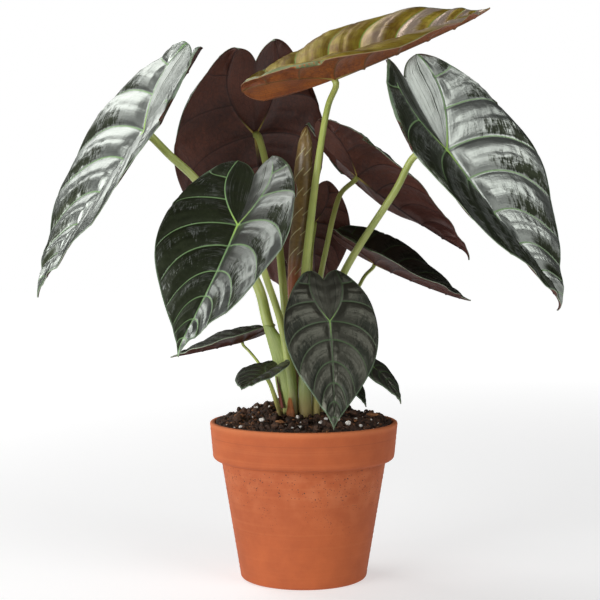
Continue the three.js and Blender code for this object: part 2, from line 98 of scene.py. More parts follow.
world = bpy.data.worlds.new("studio")
bpy.context.scene.world = world
world.use_nodes = True
sky = world.node_tree.nodes
backdrop = sky["Background"]
backdrop.inputs["Color"].default_value = (1, 1, 1, 1)
looked_at = sky.new("ShaderNodeLightPath")
glow = sky.new("ShaderNodeMapRange")
glow.inputs["To Min"].default_value = WORLD_AS_LIGHT
glow.inputs["To Max"].default_value = 1.0
world.node_tree.links.new(looked_at.outputs["Is Camera Ray"], glow.inputs["Value"])
world.node_tree.links.new(glow.outputs["Result"], backdrop.inputs["Strength"])
bpy.context.scene.view_settings.view_transform = "Standard"


# %% [markdown]
# ## A small language for shaders
# Every finish below is a sum of masks and mixes. Written as node-by-node wiring that is hard
# to read, so one small class wraps a socket and lets masks be written as sums and products.
# `smooth(low, high)` is the step used most: 0 below low, 1 above high.

# %% The socket wrapper
class Sock:
    def __init__(self, finish, socket):
        self.finish, self.socket = finish, socket

    def _math(self, operation, *values):
        return self.finish.node("ShaderNodeMath", {"operation": operation}, *values)

    def __add__(self, other): return self._math("ADD", self, other)
    def __radd__(self, other): return self._math("ADD", other, self)
    def __sub__(self, other): return self._math("SUBTRACT", self, other)
    def __rsub__(self, other): return self._math("SUBTRACT", other, self)
    def __mul__(self, other): return self._math("MULTIPLY", self, other)
    def __rmul__(self, other): return self._math("MULTIPLY", other, self)
    def __truediv__(self, other): return self._math("DIVIDE", self, other)
    def __abs__(self): return self._math("ABSOLUTE", self)

    def fract(self): return self._math("FRACT", self)
    def max(self, other): return self._math("MAXIMUM", self, other)

    def smooth(self, low, high):
        return self.finish.node("ShaderNodeMapRange", {"interpolation_type": "SMOOTHSTEP"},
                                self, low, high, 0.0, 1.0)

    def mix(self, low, high):
        """A colour that goes from low to high as this value goes from 0 to 1."""
        return self.finish.node("ShaderNodeMix", {"data_type": "RGBA", "clamp_factor": True},
                                Factor=self, A=low, B=high)


print("a shader value has", [word for word in vars(Sock) if not word.startswith("_")])

# %% [markdown]
# ## A finish
# A finish is one material on Blender's principled shader. `node` makes any node and returns
# its output as a wrapped socket; the other methods are the few patterns used again and again:
# noise, cells, streaks drawn along a mesh's own map, and bumps that stack.

# %% The finish: one material with its nodes
class Finish:
    def __init__(self, name):
        self.material = bpy.data.materials.new(name)
        self.material.use_nodes = True
        self.tree = self.material.node_tree
        self.shader = self.tree.nodes["Principled BSDF"]

    def node(self, kind, settings=None, *values, **named):
        node = self.tree.nodes.new(kind)
        for key, value in (settings or {}).items():
            setattr(node, key, value)
        wanted = named.pop("out", None)
        for index, value in enumerate(values):
            self._put(node.inputs[index], value)
        for key, value in named.items():
            fitting = [s for s in node.inputs if s.name == key and s.enabled]
            self._put(fitting[0], value)
        usable = [s for s in node.outputs if s.enabled and (wanted is None or s.name == wanted)]
        return Sock(self, usable[0])

    def _put(self, socket, value):
        if isinstance(value, Sock):
            self.tree.links.new(value.socket, socket)
        elif isinstance(value, tuple) and len(value) == 3 and socket.type == "RGBA":
            socket.default_value = (*value, 1)
        elif value is not None:
            socket.default_value = value

    def uv(self, name):
        """The two values of a named map, as two sockets."""
        place = self.node("ShaderNodeUVMap", {"uv_map": name})
        return [self.node("ShaderNodeSeparateXYZ", None, place, out=axis) for axis in "XY"]

    def place(self, scale=(1, 1, 1)):
        """The spot on the object in metres, stretched by scale."""
        spot = self.node("ShaderNodeTexCoord", out="Object")
        return self.node("ShaderNodeVectorMath", {"operation": "MULTIPLY"}, spot, scale)

    def height(self):
        """How far above the floor, in metres."""
        return self.node("ShaderNodeSeparateXYZ", None, self.place(), out="Z")

    def noise(self, scale, at=None, detail=4.0, roughness=0.55, distortion=0.0):
        return self.node("ShaderNodeTexNoise", None, Vector=at or self.place(), Scale=scale,
                         Detail=detail, Roughness=roughness, Distortion=distortion)

    def streaks(self, x, y, seed, **kind):
        """Noise drawn long or short along two map values."""
        return self.noise(1.0, self.node("ShaderNodeCombineXYZ", None, x, y, seed), **kind)

    def cells(self, scale, at=None, feature="F1"):
        return self.node("ShaderNodeTexVoronoi", {"feature": feature},
                         Vector=at or self.place(), Scale=scale)

    def bump(self, height, distance, strength=1.0, below=None):
        return self.node("ShaderNodeBump", None, Height=height, Distance=distance,
                         Strength=strength, Normal=below)

    def set(self, **sockets):
        for key, value in sockets.items():
            self._put(self.shader.inputs[key.replace("_", " ")], value)
        return self.material


print("a finish has", [word for word in vars(Finish) if not word.startswith("_")])

# %% [markdown]
# ## One way to make every piece
# Each piece is a mesh with its own materials, rides on the one body and stands for its node of
# the frame. Extra numbers that a finish needs, such as how far a spot is from the nearest vein,
# travel with the mesh as named maps.

# %% Mesh to piece
def make_piece(name, points, faces, finishes, node=None, face_finish=None, maps=None):
    mesh = bpy.data.meshes.new(name)
    mesh.from_pydata([tuple(p) for p in points], [], faces)
    for finish in finishes:
        mesh.materials.append(finish)
    mesh.polygons.foreach_set("use_smooth", [True] * len(mesh.polygons))
    if face_finish is not None:
        mesh.polygons.foreach_set("material_index", face_finish)
    for map_name, values in (maps or {}).items():
        layer = mesh.uv_layers.new(name=map_name)
        layer.data.foreach_set("uv", np.asarray(values, dtype=np.float32).ravel())
    mesh.validate(clean_customdata=False)
    mesh.update()
    piece = bpy.data.objects.new(name, mesh)
    bpy.context.scene.collection.objects.link(piece)
    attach(piece, "root")
    if node:
        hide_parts(node)


def ring_faces(rings, around, closed=False):
    """Quads between neighbouring rings; closed also joins the last ring to the first."""
    faces = []
    for i in range(rings if closed else rings - 1):
        low, high = i * around, (i + 1) % rings * around
        for k in range(around):
            n = (k + 1) % around
            faces.append([low + k, low + n, high + n, high + k])
    return faces


def smoothstep(x, low, high):
    x = np.clip((x - low) / (high - low), 0, 1)
    return x * x * (3 - 2 * x)


print("two rings of four points give", len(ring_faces(2, 4)), "faces")

# %% [markdown]
# ## The shape of a blade
# An alocasia blade is an arrowhead: a midrib runs from the stalk's joint to the drip tip, and
# one vein runs back into each of the two round lobes. It could be sculpted or cut from a
# subdivided plane, but its surface follows its veins, so the mesh should too. Here the rows of
# the grid are the side veins: each leaves the main vein, swings out and then sweeps towards the
# tip. The outline is given by a few arcs in units of the midrib's length.

# %% Outline and vein lines, flat
LOBE_TOP = (-0.5, 0.115)
LOBE_ARC = [LOBE_TOP, (-0.515, 0.215), (-0.2, 0.43), (0.1, 0.43)]
FLANK_ARC = [(0.1, 0.43), (0.42, 0.43), (0.68, 0.19), (0.9, 0.045)]
TIP_ARC = [(0.9, 0.045), (0.94, 0.02), (0.97, 0.008), (1.0, 0.0)]
NOTCH_ARC = [(-0.41, 0.0), (-0.45, 0.02), (-0.49, 0.045), LOBE_TOP]
LOBE_VEIN = [(0.0, 0.0), (-0.27, 0.235), LOBE_TOP]
LOBE_SHARE, NOTCH_START = 0.36, 0.8
EDGE_REACH = (0.0, 0.44, 0.9, 1.0)  # where each arc of the edge ends


def arc(points, t):
    p = np.asarray(points, float)
    t = np.asarray(t, float)[..., None]
    s = 1 - t
    if len(p) == 3:
        return s * s * p[0] + 2 * s * t * p[1] + t * t * p[2]
    return s ** 3 * p[0] + 3 * s * s * t * p[1] + 3 * s * t * t * p[2] + t ** 3 * p[3]


def edge_line(v):
    shares = [np.clip((v - a) / (b - a), 0, 1) for a, b in zip(EDGE_REACH, EDGE_REACH[1:])]
    lobe, flank, tip = (arc(p, t) for p, t in zip((LOBE_ARC, FLANK_ARC, TIP_ARC), shares))
    first = (v < EDGE_REACH[1])[..., None]
    second = (v < EDGE_REACH[2])[..., None]
    return np.where(first, lobe, np.where(second, flank, tip))


def main_vein(u):
    back = arc(LOBE_VEIN, np.clip(1 - u / LOBE_SHARE, 0, 1))
    front = np.stack([(u - LOBE_SHARE) / (1 - LOBE_SHARE), np.zeros_like(u)], -1)
    return np.where((u < LOBE_SHARE)[..., None], back, front)


def outer_flat(u, t):
    start = main_vein(u)
    sweep = 0.19 * np.sin(np.pi * np.clip(u / 0.92, 0, 1)) ** 1.1
    end = edge_line(np.clip(u + sweep, 0, 1))
    bend = np.stack([start[..., 0] + 0.10 * (end[..., 0] - start[..., 0]),
                     start[..., 1] + 0.93 * (end[..., 1] - start[..., 1])], -1)
    t = t[..., None]
    return (1 - t) ** 2 * start + 2 * (1 - t) * t * bend + t ** 2 * end


def inner_flat(w, t):
    vein = arc(LOBE_VEIN, w)
    axis = np.stack([NOTCH_ARC[0][0] * np.clip(w / NOTCH_START, 0, 1), np.zeros_like(w)], -1)
    notch = arc(NOTCH_ARC, np.clip((w - NOTCH_START) / (1 - NOTCH_START), 0, 1))
    edge = np.where((w < NOTCH_START)[..., None], axis, notch)
    t = t[..., None]
    return (1 - t) * vein + t * edge


outline = edge_line(np.linspace(0, 1, 200))
print("outline from", outline.min(axis=0).round(3), "to", outline.max(axis=0).round(3))

# %% [markdown]
# ## How each leaf hangs
# These rows give where the joint is, how the midrib is aimed,
# and how the blade is folded along it, cupped, drooped, twisted and curled at its drip tip.
# `route` and `radii` belong to the stalk. Only `foot`, on the top leaf, is for the looks alone:
# its stalk is a little broader where it clasps the new leaf.

# %% The leaves
LEAVES = {
    "left": dict(
        joint=(-109, -5, 307), heading=183, pitch=-55, roll=25, length=136, width=0.98,
        fold=17, tip_fold=16, droop=2, lobe_droop=-3, cup=6, twist=4, sway=1, curl=30,
        route=[(-92, -4, 291), (-73, -4, 273), (-49, -4, 233), (-31, -6, 200), (-25, -7, 177),
               (-18, -8, 153), (-14, -7, 130), (-9, -3.5, 114)], radii=(2.7, 4.6)),
    "back": dict(
        joint=(-35.5, 66, 311), heading=80, pitch=-68, roll=36, length=138, width=1.04,
        fold=9, tip_fold=50, droop=29, lobe_droop=18, cup=2, twist=-25, sway=9, curl=0,
        route=[(-27, 54, 287), (-22, 40, 262), (-17, 22, 226), (-13, 10, 184), (-10, 6, 150),
               (-6.5, 4.8, 114)], radii=(2.5, 3.0)),
    "front_left": dict(
        joint=(-43, -50, 242), heading=248, pitch=-45, roll=-3, length=111, width=1.04,
        fold=22, tip_fold=0, droop=0, lobe_droop=-10, cup=5, twist=0, sway=6, curl=40,
        route=[(-38, -38, 234), (-31, -30, 225), (-26, -22, 209), (-16, -15, 178),
               (-11, -14, 151), (-8, -12.6, 128), (-7, -11.3, 114)], radii=(2.2, 2.9)),
    "right": dict(
        joint=(96, -20, 293), heading=-7, pitch=-54, roll=-37, length=140, width=1.02,
        fold=22, tip_fold=35, droop=10, lobe_droop=-10, cup=8, twist=0, sway=-19, curl=70,
        route=[(77, -6, 291), (63, -3, 267), (27, 0, 209), (14, 2, 171), (8, 0, 136),
               (6.6, -2.2, 114)], radii=(2.4, 3.0)),
    "top": dict(
        joint=(21, 5, 344), heading=2, pitch=22, roll=-16, length=127, width=1.03,
        fold=49, tip_fold=37, droop=0, lobe_droop=-10, cup=52, twist=-19, sway=-22, curl=-10,
        route=[(17, 1, 326), (11, -8, 294), (4, -13, 240), (1, -14, 209), (1, -15, 171),
               (1, -13, 137), (0.8, -9.5, 114)], radii=(2.1, 4.0), foot=0.22),
    "right_rear": dict(
        joint=(39, 48, 279), heading=4, pitch=-38, roll=14, length=103, width=1.03,
        fold=31, tip_fold=28, droop=0, lobe_droop=-10, cup=36, twist=0, sway=25, curl=60,
        route=[(27, 36, 267), (21.5, 23, 252), (16.2, 13, 229), (12, 11, 209), (7, 9, 170),
               (4, 6.5, 135), (3, 5, 114)], radii=(1.8, 2.2)),
    "front": dict(
        joint=(17, -42, 179), heading=284, pitch=-70, roll=1, length=73, width=1.03,
        fold=10, tip_fold=7, droop=1, lobe_droop=13, cup=11, twist=-5, sway=6, curl=5,
        route=[(11, -34, 173), (9, -28, 165), (8, -21, 148), (9, -15, 128), (9, -10, 114)],
        radii=(1.6, 2.0)),
    "right_low": dict(
        joint=(51, 36, 216), heading=-6, pitch=-25, roll=-16, length=76, width=0.98,
        fold=48, tip_fold=33, droop=0, lobe_droop=-10, cup=36, twist=2, sway=-25, curl=-10,
        route=[(44, 31, 208), (39, 24, 200), (25, 12, 173), (13, 7.5, 142), (8.5, 4.5, 114)],
        radii=(1.3, 1.5)),
    "small_right": dict(
        joint=(48, -2, 145), heading=-18, pitch=-38, roll=-14, length=32, width=1.0,
        fold=10, tip_fold=14, droop=27, lobe_droop=15, cup=25, twist=-2, sway=1, curl=25,
        route=[(40, -3, 143), (30, -4, 137), (20, -4, 126), (12, -4.5, 114)], radii=(1.0, 1.3)),
    "tiny_right": dict(
        joint=(33, 10, 134), heading=-28, pitch=-48, roll=-10, length=21, width=0.9,
        fold=16, tip_fold=14, droop=15, lobe_droop=10, cup=20, twist=0, sway=0, curl=20,
        route=[(27, 10, 131), (19, 7, 122), (13, 1.5, 114)], radii=(0.8, 1.0)),
    "small_left": dict(
        joint=(-43, 12, 162), heading=216, pitch=-9, roll=-5, length=54, width=0.95,
        fold=37, tip_fold=18, droop=0, lobe_droop=-10, cup=32, twist=0, sway=25, curl=6,
        route=[(-38, 11, 155), (-31, 4, 147), (-23.5, -3, 134), (-18.5, -5.5, 122),
               (-17, -6, 114)], radii=(1.0, 1.3)),
    "low_round": dict(
        joint=(-25, -42, 145), heading=244, pitch=-11, roll=-6, length=40, width=1.02,
        fold=19, tip_fold=0, droop=0, lobe_droop=-4, cup=14, twist=-1, sway=-7, curl=0,
        route=[(-22, -37, 136), (-18.5, -28, 124), (-16.5, -18, 117), (-15.5, -11.5, 113)],
        radii=(1.4, 1.7)),
    "mid_rear": dict(
        joint=(8, 53, 246), heading=100, pitch=-82, roll=0, length=62, width=1.0,
        fold=3, tip_fold=11, droop=10, lobe_droop=9, cup=11, twist=0, sway=3, curl=8,
        route=[(6, 44, 228), (4.5, 28, 203), (2, 13, 173), (-1, 8, 135), (-1.2, 5.6, 114)],
        radii=(1.2, 1.5)),
}
CROWN_LEVEL = 110.0
print("leaves", len(LEAVES), "midribs in mm", [leaf["length"] for leaf in LEAVES.values()])


# %% [markdown]
# ## From flat to hanging
# Each point of the flat blade is carried along the midrib, which bends, turns and twists on its
# way, and then out to the side on an arc that folds and cups. A lattice or a simple deform
# modifier could bend a flat mesh too, but would not give the same places as the solids.

# %% Bend a flat blade into space
def blade_axes(leaf):
    h, p, r = (math.radians(leaf[k]) for k in ("heading", "pitch", "roll"))
    along = np.array([math.cos(p) * math.cos(h), math.cos(p) * math.sin(h), math.sin(p)])
    level = np.array([math.sin(h), -math.cos(h), 0.0])
    rise = np.cross(level, along)
    right = math.cos(r) * level + math.sin(r) * rise
    return along, right, np.cross(right, along)


def blade_surface(leaf, flat, side):
    """Points in space, in mm, for flat points on one side (+1 right, -1 left) of the midrib."""
    along, right, up = blade_axes(leaf)
    a, b = flat[..., 0], flat[..., 1] * leaf["width"]

    def directions(s):
        tip = math.radians(leaf["curl"]) * np.clip((s - 0.85) / 0.15, 0, 1) ** 2
        bend = np.where(s < 0, math.radians(leaf["lobe_droop"]) * s / 0.5,
                        math.radians(leaf["droop"]) * s + tip)[..., None]
        turn = (math.radians(leaf["sway"]) * s)[..., None]
        level = np.cos(turn) * along + np.sin(turn) * right
        across = -np.sin(turn) * along + np.cos(turn) * right
        forward = np.cos(bend) * level - np.sin(bend) * up
        return forward, across, np.cross(across, forward)

    walk = np.linspace(-0.56, 1.0, 313)
    forward = directions(walk)[0]
    steps = (forward[1:] + forward[:-1]) / 2 * np.diff(walk)[:, None]
    places = np.concatenate([[np.zeros(3)], np.cumsum(steps, axis=0)])
    places -= [np.interp(0, walk, places[:, k]) for k in range(3)]
    rib = np.stack([np.interp(a, walk, places[:, k]) for k in range(3)], -1)
    _, across, lift = directions(a)
    twist = (math.radians(leaf["twist"]) * a)[..., None]
    lateral = np.cos(twist) * across + np.sin(twist) * lift
    normal = np.cos(twist) * lift - np.sin(twist) * across
    fold = np.radians(leaf["fold"] + (leaf["tip_fold"] - leaf["fold"]) * np.clip(a, 0, 1))
    cup = math.radians(leaf["cup"]) / 0.43 or 1e-4
    out = (np.sin(fold) - np.sin(fold - cup * b)) / cup
    rise = (np.cos(fold - cup * b) - np.cos(fold)) / cup
    shape = rib + side * out[..., None] * lateral + rise[..., None] * normal
    return np.asarray(leaf["joint"]) + leaf["length"] * shape


for name, leaf in LEAVES.items():
    print(name, "tip in mm", blade_surface(leaf, np.array([[1.0, 0.0]]), 1)[0].round(1))

# %% [markdown]
# ## Quilting
# Between the strong side veins the blade swells into pillows; the veins lie in grooves on top
# and stand out as ribs underneath. The swelling is real geometry, because it shows in the
# outline of the highlights. `vein_number` counts the strong side veins from the lobe to the
# tip, so its whole numbers are veins and its fractions run across the pillow between two.

# %% Relief of a blade
STRONG_VEINS = [0, 0.11, 0.235, 0.36, 0.47, 0.60, 0.725, 0.835, 0.925, 1]  # of the vein line
BLADE_THICKNESS = 0.8
FULL_LENGTH = 140  # mm, the midrib that the relief was shaped on; others scale it


def vein_number(u):
    return np.interp(u, STRONG_VEINS, range(len(STRONG_VEINS)))


def relief(leaf, u, number, t, from_rib, span, rib_width, seed):
    """Height of the blade's middle, and of the ribs below it, in mm."""
    size = leaf["length"] / FULL_LENGTH
    share = number - np.floor(number)
    to_vein = (0.5 - np.abs(share - 0.5)) * span
    drip = 1 - smoothstep(u, 0.86, 0.97)
    body = smoothstep(t, 0, 0.14) * (1 - 0.8 * smoothstep(t, 0.8, 1.0)) * drip
    room = np.clip(span / (13 * size), 0.06, 1)
    wobble = 0.7 * np.sin(5.1 * number + seed) + 0.5 * np.sin(9.7 * number * t + 2 * seed)
    swell = np.sin(np.pi * share ** 1.12) ** (0.75 + 0.75 * smoothstep(u, 0.7, 0.85))
    pillow = 2.5 * size * swell * body * room * (1 + 0.2 * wobble * t)
    crease = -0.6 * size * np.exp(-(((share - 0.48) * span) / (1.7 * size)) ** 2) * body * room
    quiet = 1 - smoothstep(u, 0.6, 0.8)
    folds = 0.34 * size * np.sin(2 * np.pi * 3.4 * share + 1.6 * wobble + 4 * t) \
        * body * room * np.sin(np.pi * share) * smoothstep(t, 0.15, 0.6) * quiet
    ripple = 0.20 * size * quiet * np.sin(from_rib / (0.9 * size) + 3 * wobble) \
        * body * np.sin(np.pi * share) * smoothstep(t, 0.2, 0.6) * room
    groove = -0.5 * size * np.exp(-(to_vein / (1.0 * size)) ** 2) * (1 - 0.7 * t) * drip \
        * np.clip(2.5 * room, 0, 1)
    rib = np.exp(-(from_rib / rib_width) ** 2)
    gutter = -0.45 * size * np.exp(-((from_rib / rib_width - 2.2) / 1.3) ** 2) * drip \
        * np.clip(rib_width / (1.3 * size), 0, 1) ** 2
    wave = 1.3 * size * smoothstep(t, 0.55, 1.0) * np.sin(np.pi * number + seed) * drip * room
    middle = pillow + crease + folds + ripple + groove + gutter + 0.35 * size * rib * drip + wave
    side_rib = 0.7 * np.exp(-(to_vein / (0.9 * size)) ** 2) * (1 - 0.75 * t)
    below = size * (1.5 * rib * (0.25 + 0.75 * drip) + side_rib * drip)
    return middle, below


print("side veins to the tip", len(STRONG_VEINS), "blade thickness in mm", BLADE_THICKNESS)

# %% [markdown]
# ## A blade's grid
# Each half of a blade is two grids: the outer one from the main vein to the edge, and the inner
# one between a lobe's vein and the notch. They share their border points, which are merged here
# by their flat place. Four maps travel with the mesh: how many side veins come before a spot,
# how far it is from a rib, how far from the joint and the margin, and how much painted shade
# darkens that half of the blade.

# %% The grid of one blade
PAINTED_SHADE_HALVES = {("front_left", 1): 0.85, ("right", 1): 0.62}  # halves with shade painted on them, as a weaker sheen and fainter veins
BLADE_GRID = (92, 34, 46, 12)  # rows and columns of the front, then of a lobe's inner part
SMALL_BLADE_GRID, SMALL_BLADE = (40, 16, 22, 7), 60
INNER_SPAN = 9.0  # mm between veins in the inner part of a lobe
NOT_AN_EDGE = 99


def blade_mesh(name, leaf, seed):
    size = leaf["length"] / FULL_LENGTH
    rows, columns, lobe_rows, lobe_columns = (
        BLADE_GRID if leaf["length"] > SMALL_BLADE else SMALL_BLADE_GRID)
    parts = {key: [] for key in ("key", "place", "height", "rib", "edge",
                                 "vein", "reach", "margin", "sheen")}
    quads, count = [], 0
    for side in (1, -1):
        lobe_u = LOBE_SHARE * np.linspace(0, 1, lobe_rows + 1)
        front_u = LOBE_SHARE + (1 - LOBE_SHARE) * np.linspace(0, 1, rows + 1)[1:]
        outer = (outer_flat, np.concatenate([lobe_u, front_u]), columns)
        inner = (inner_flat, np.linspace(0, 1, lobe_rows + 1), lobe_columns)
        for part, (flat_of, shares, steps) in enumerate((outer, inner)):
            power = 1.35 if part == 0 else 1.0  # columns stand closer near the main vein
            u, t = np.meshgrid(shares, np.linspace(0, 1, steps + 1) ** power, indexing="ij")
            flat = flat_of(u, t)
            # the inner part stays clear of whole numbers, so that no side vein is painted there
            number = vein_number(u) if part == 0 else 2.5 + 0.38 * np.cos(np.pi * t)
            step = np.linalg.norm(np.gradient(flat, axis=0), axis=-1)
            if part == 0:
                span = leaf["length"] * step / np.maximum(np.gradient(number, axis=0), 1e-4)
            else:
                span = np.full_like(u, INNER_SPAN * leaf["length"] / FULL_LENGTH)
            from_rib = leaf["length"] * np.linalg.norm(flat - flat[:, :1], axis=-1)
            from_joint = np.linalg.norm(flat[:, :1], axis=-1) * np.ones_like(u)
            lobe_side = part == 1 or u < LOBE_SHARE
            rib_width = 1.3 * size * np.where(lobe_side, 1 - 0.98 * from_joint ** 0.35,
                                              1 - 0.75 * from_joint ** 0.8)
            middle, below = relief(leaf, u, number, t, from_rib, span, rib_width, seed + side)
            if part == 1:
                w = smoothstep(u, 0, 0.25) * (1 - smoothstep(u, 0.85, 1))
                puckers = 0.22 * np.sin(26 * u + 3 * t + seed)
                middle = size * ((0.7 + puckers) * np.sin(np.pi * t) * w
                                 + 0.35 * np.exp(-(from_rib / rib_width) ** 2))
            to_edge = (from_rib[:, -1:] - from_rib) \
                + (NOT_AN_EDGE if part == 1 else 0) * (u < NOTCH_START)
            # the shade painted on this half of the blade, carried to its finish in a map
            painted_half_shade = np.full_like(t, PAINTED_SHADE_HALVES.get((name, side), 0.0))
            for key, values in dict(
                    key=(flat[..., 0], side * flat[..., 1]), height=(middle,), rib=(below,),
                    edge=(t if part == 0 else t * (u > NOTCH_START),), vein=(number, t),
                    reach=(from_rib / rib_width, span), margin=(from_joint * FULL_LENGTH, to_edge),
                    sheen=(painted_half_shade, t)).items():
                parts[key].append(np.stack(values, -1).reshape(-1, len(values)))
            parts["place"].append(blade_surface(leaf, flat, side).reshape(-1, 3))
            index = count + np.arange(u.size).reshape(u.shape)
            corner = np.stack([index[:-1, :-1], index[1:, :-1], index[1:, 1:], index[:-1, 1:]],
                              -1).reshape(-1, 4)
            quads.append(corner if side < 0 else corner[:, ::-1])
            count += u.size
    whole = {key: np.concatenate(values) for key, values in parts.items()}
    _, first, same = np.unique(np.round(whole["key"], 5), axis=0, return_index=True,
                               return_inverse=True)
    same, total = same.ravel(), len(first)
    share = np.bincount(same, minlength=total)
    heights, ribs, edges = (np.bincount(same, whole[key].ravel(), total) / share
                            for key in ("height", "rib", "edge"))
    faces, corners = [], []
    for quad in np.concatenate(quads):
        kept = [k for i, k in enumerate(quad) if same[k] != same[quad[i - 1]]]
        if len(kept) > 2 and len({same[k] for k in kept}) == len(kept):
            faces.append([int(same[k]) for k in kept])
            corners.append([int(k) for k in kept])
    maps = {key: whole[key] for key in ("vein", "reach", "margin", "sheen")}
    return close_sheet(whole["place"][first], faces, corners, heights, ribs, edges, maps)


print("outer grid of half a blade", BLADE_GRID[0] + BLADE_GRID[2] + 1, "by", BLADE_GRID[1] + 1)

# %% [markdown]
# ## Thickness
# A blade could be one sheet of faces with a two-sided material, but then it has no thickness
# and no true underside. It is closed here instead: the same grid twice, a little apart, joined
# by a thin rim, so that the silver top, the burgundy underside and the pale rim are three
# finishes on three sets of faces.

# %% Close a sheet into a thin solid
def sheet_normals(points, faces):
    normals = np.zeros_like(points)
    for size in (3, 4):
        group = np.array([f for f in faces if len(f) == size])
        if len(group):
            p = points[group]
            facing = np.cross(p[:, 1] - p[:, 0], p[:, 2] - p[:, 0])
            if size == 4:
                facing = np.cross(p[:, 2] - p[:, 0], p[:, 3] - p[:, 1])
            for k in range(size):
                np.add.at(normals, group[:, k], facing)
    return normals / np.maximum(np.linalg.norm(normals, axis=1, keepdims=True), 1e-12)


def solid_sheet(points, half):
    """A grid of points made a solid sheet: two skins and the rim between them."""
    grid = np.arange(points[..., 0].size).reshape(points.shape[:2])
    faces = np.stack([grid[:-1, :-1], grid[:-1, 1:], grid[1:, 1:], grid[1:, :-1]], -1)
    points, faces = points.reshape(-1, 3), faces.reshape(-1, 4).tolist()
    normals = sheet_normals(points, faces)
    count = len(points)
    used = {(f[i - 1], f[i]) for f in faces for i in range(4)}
    closed = faces + [[k + count for k in reversed(f)] for f in faces]
    closed += [[j, i, i + count, j + count] for i, j in used if (j, i) not in used]
    return np.concatenate([points + normals * half, points - normals * half]) * MM, closed


def close_sheet(points, faces, corners, heights, ribs, edges, maps):
    """A blade made solid, thinner at its edge, with finishes 0 top, 1 underside and 2 rim."""
    normals = sheet_normals(points, faces)
    half = 0.5 * BLADE_THICKNESS * (1 - 0.55 * smoothstep(edges, 0.93, 1.0))
    top = points + normals * (heights + half)[:, None]
    under = points + normals * (heights - half - ribs)[:, None]
    below = len(points)
    every, finish = list(faces), [0] * len(faces)
    loops = [k for face in corners for k in face]
    for face, corner in zip(faces, corners):
        every.append([k + below for k in reversed(face)])
        finish.append(1)
        loops.extend(reversed(corner))
    used = {}
    for face, corner in zip(faces, corners):
        for i in range(len(face)):
            used[(face[i - 1], face[i])] = (corner[i - 1], corner[i])
    for (i, j), (ci, cj) in used.items():
        if (j, i) not in used:
            every.append([j, i, i + below, j + below])
            finish.append(2)
            loops.extend([cj, ci, ci, cj])
    maps = {name: values[loops] for name, values in maps.items()}
    return np.concatenate([top, under]) * MM, every, finish, maps


square = np.array([[(0, 0, 0), (1, 0, 0)], [(0, 1, 0), (1, 1, 0)]], float)
print("a closed square sheet has", len(solid_sheet(square, 0.5)[1]), "faces")

# %% [markdown]
# ## Where the veins are
# A flat picture of veins would stretch on the bent blades. They are painted from the maps
# instead: a vein is where the count of side veins is near a whole number, and its width in
# millimetres comes from the distance to the next vein.

# %% Vein masks shared by the blade finishes
VEIN_WIDTH = 0.6  # half width of a side vein at its root, in mm, is 1.2 times this


def vein_masks(finish):
    number, t = finish.uv("vein")
    from_rib, span = finish.uv("reach")
    from_joint, to_edge = finish.uv("margin")
    share = number.fract()
    to_vein = (0.5 - abs(share - 0.5)) * span
    thin = (1.2 - t * 0.6) * VEIN_WIDTH
    side_vein = (1 - (to_vein / thin).smooth(0.5, 1.1)) * (1 - t.smooth(0.9, 0.98))
    rib = 1 - from_rib.smooth(0.7, 1.15)
    joint = 1 - from_joint.smooth(1.5, 26)
    edge = 1 - to_edge.smooth(0.5, 1.5)
    return number, t, share, side_vein, rib, joint, edge


print("side veins thin out from", 1.2 * VEIN_WIDTH, "to", 0.6 * VEIN_WIDTH, "mm")
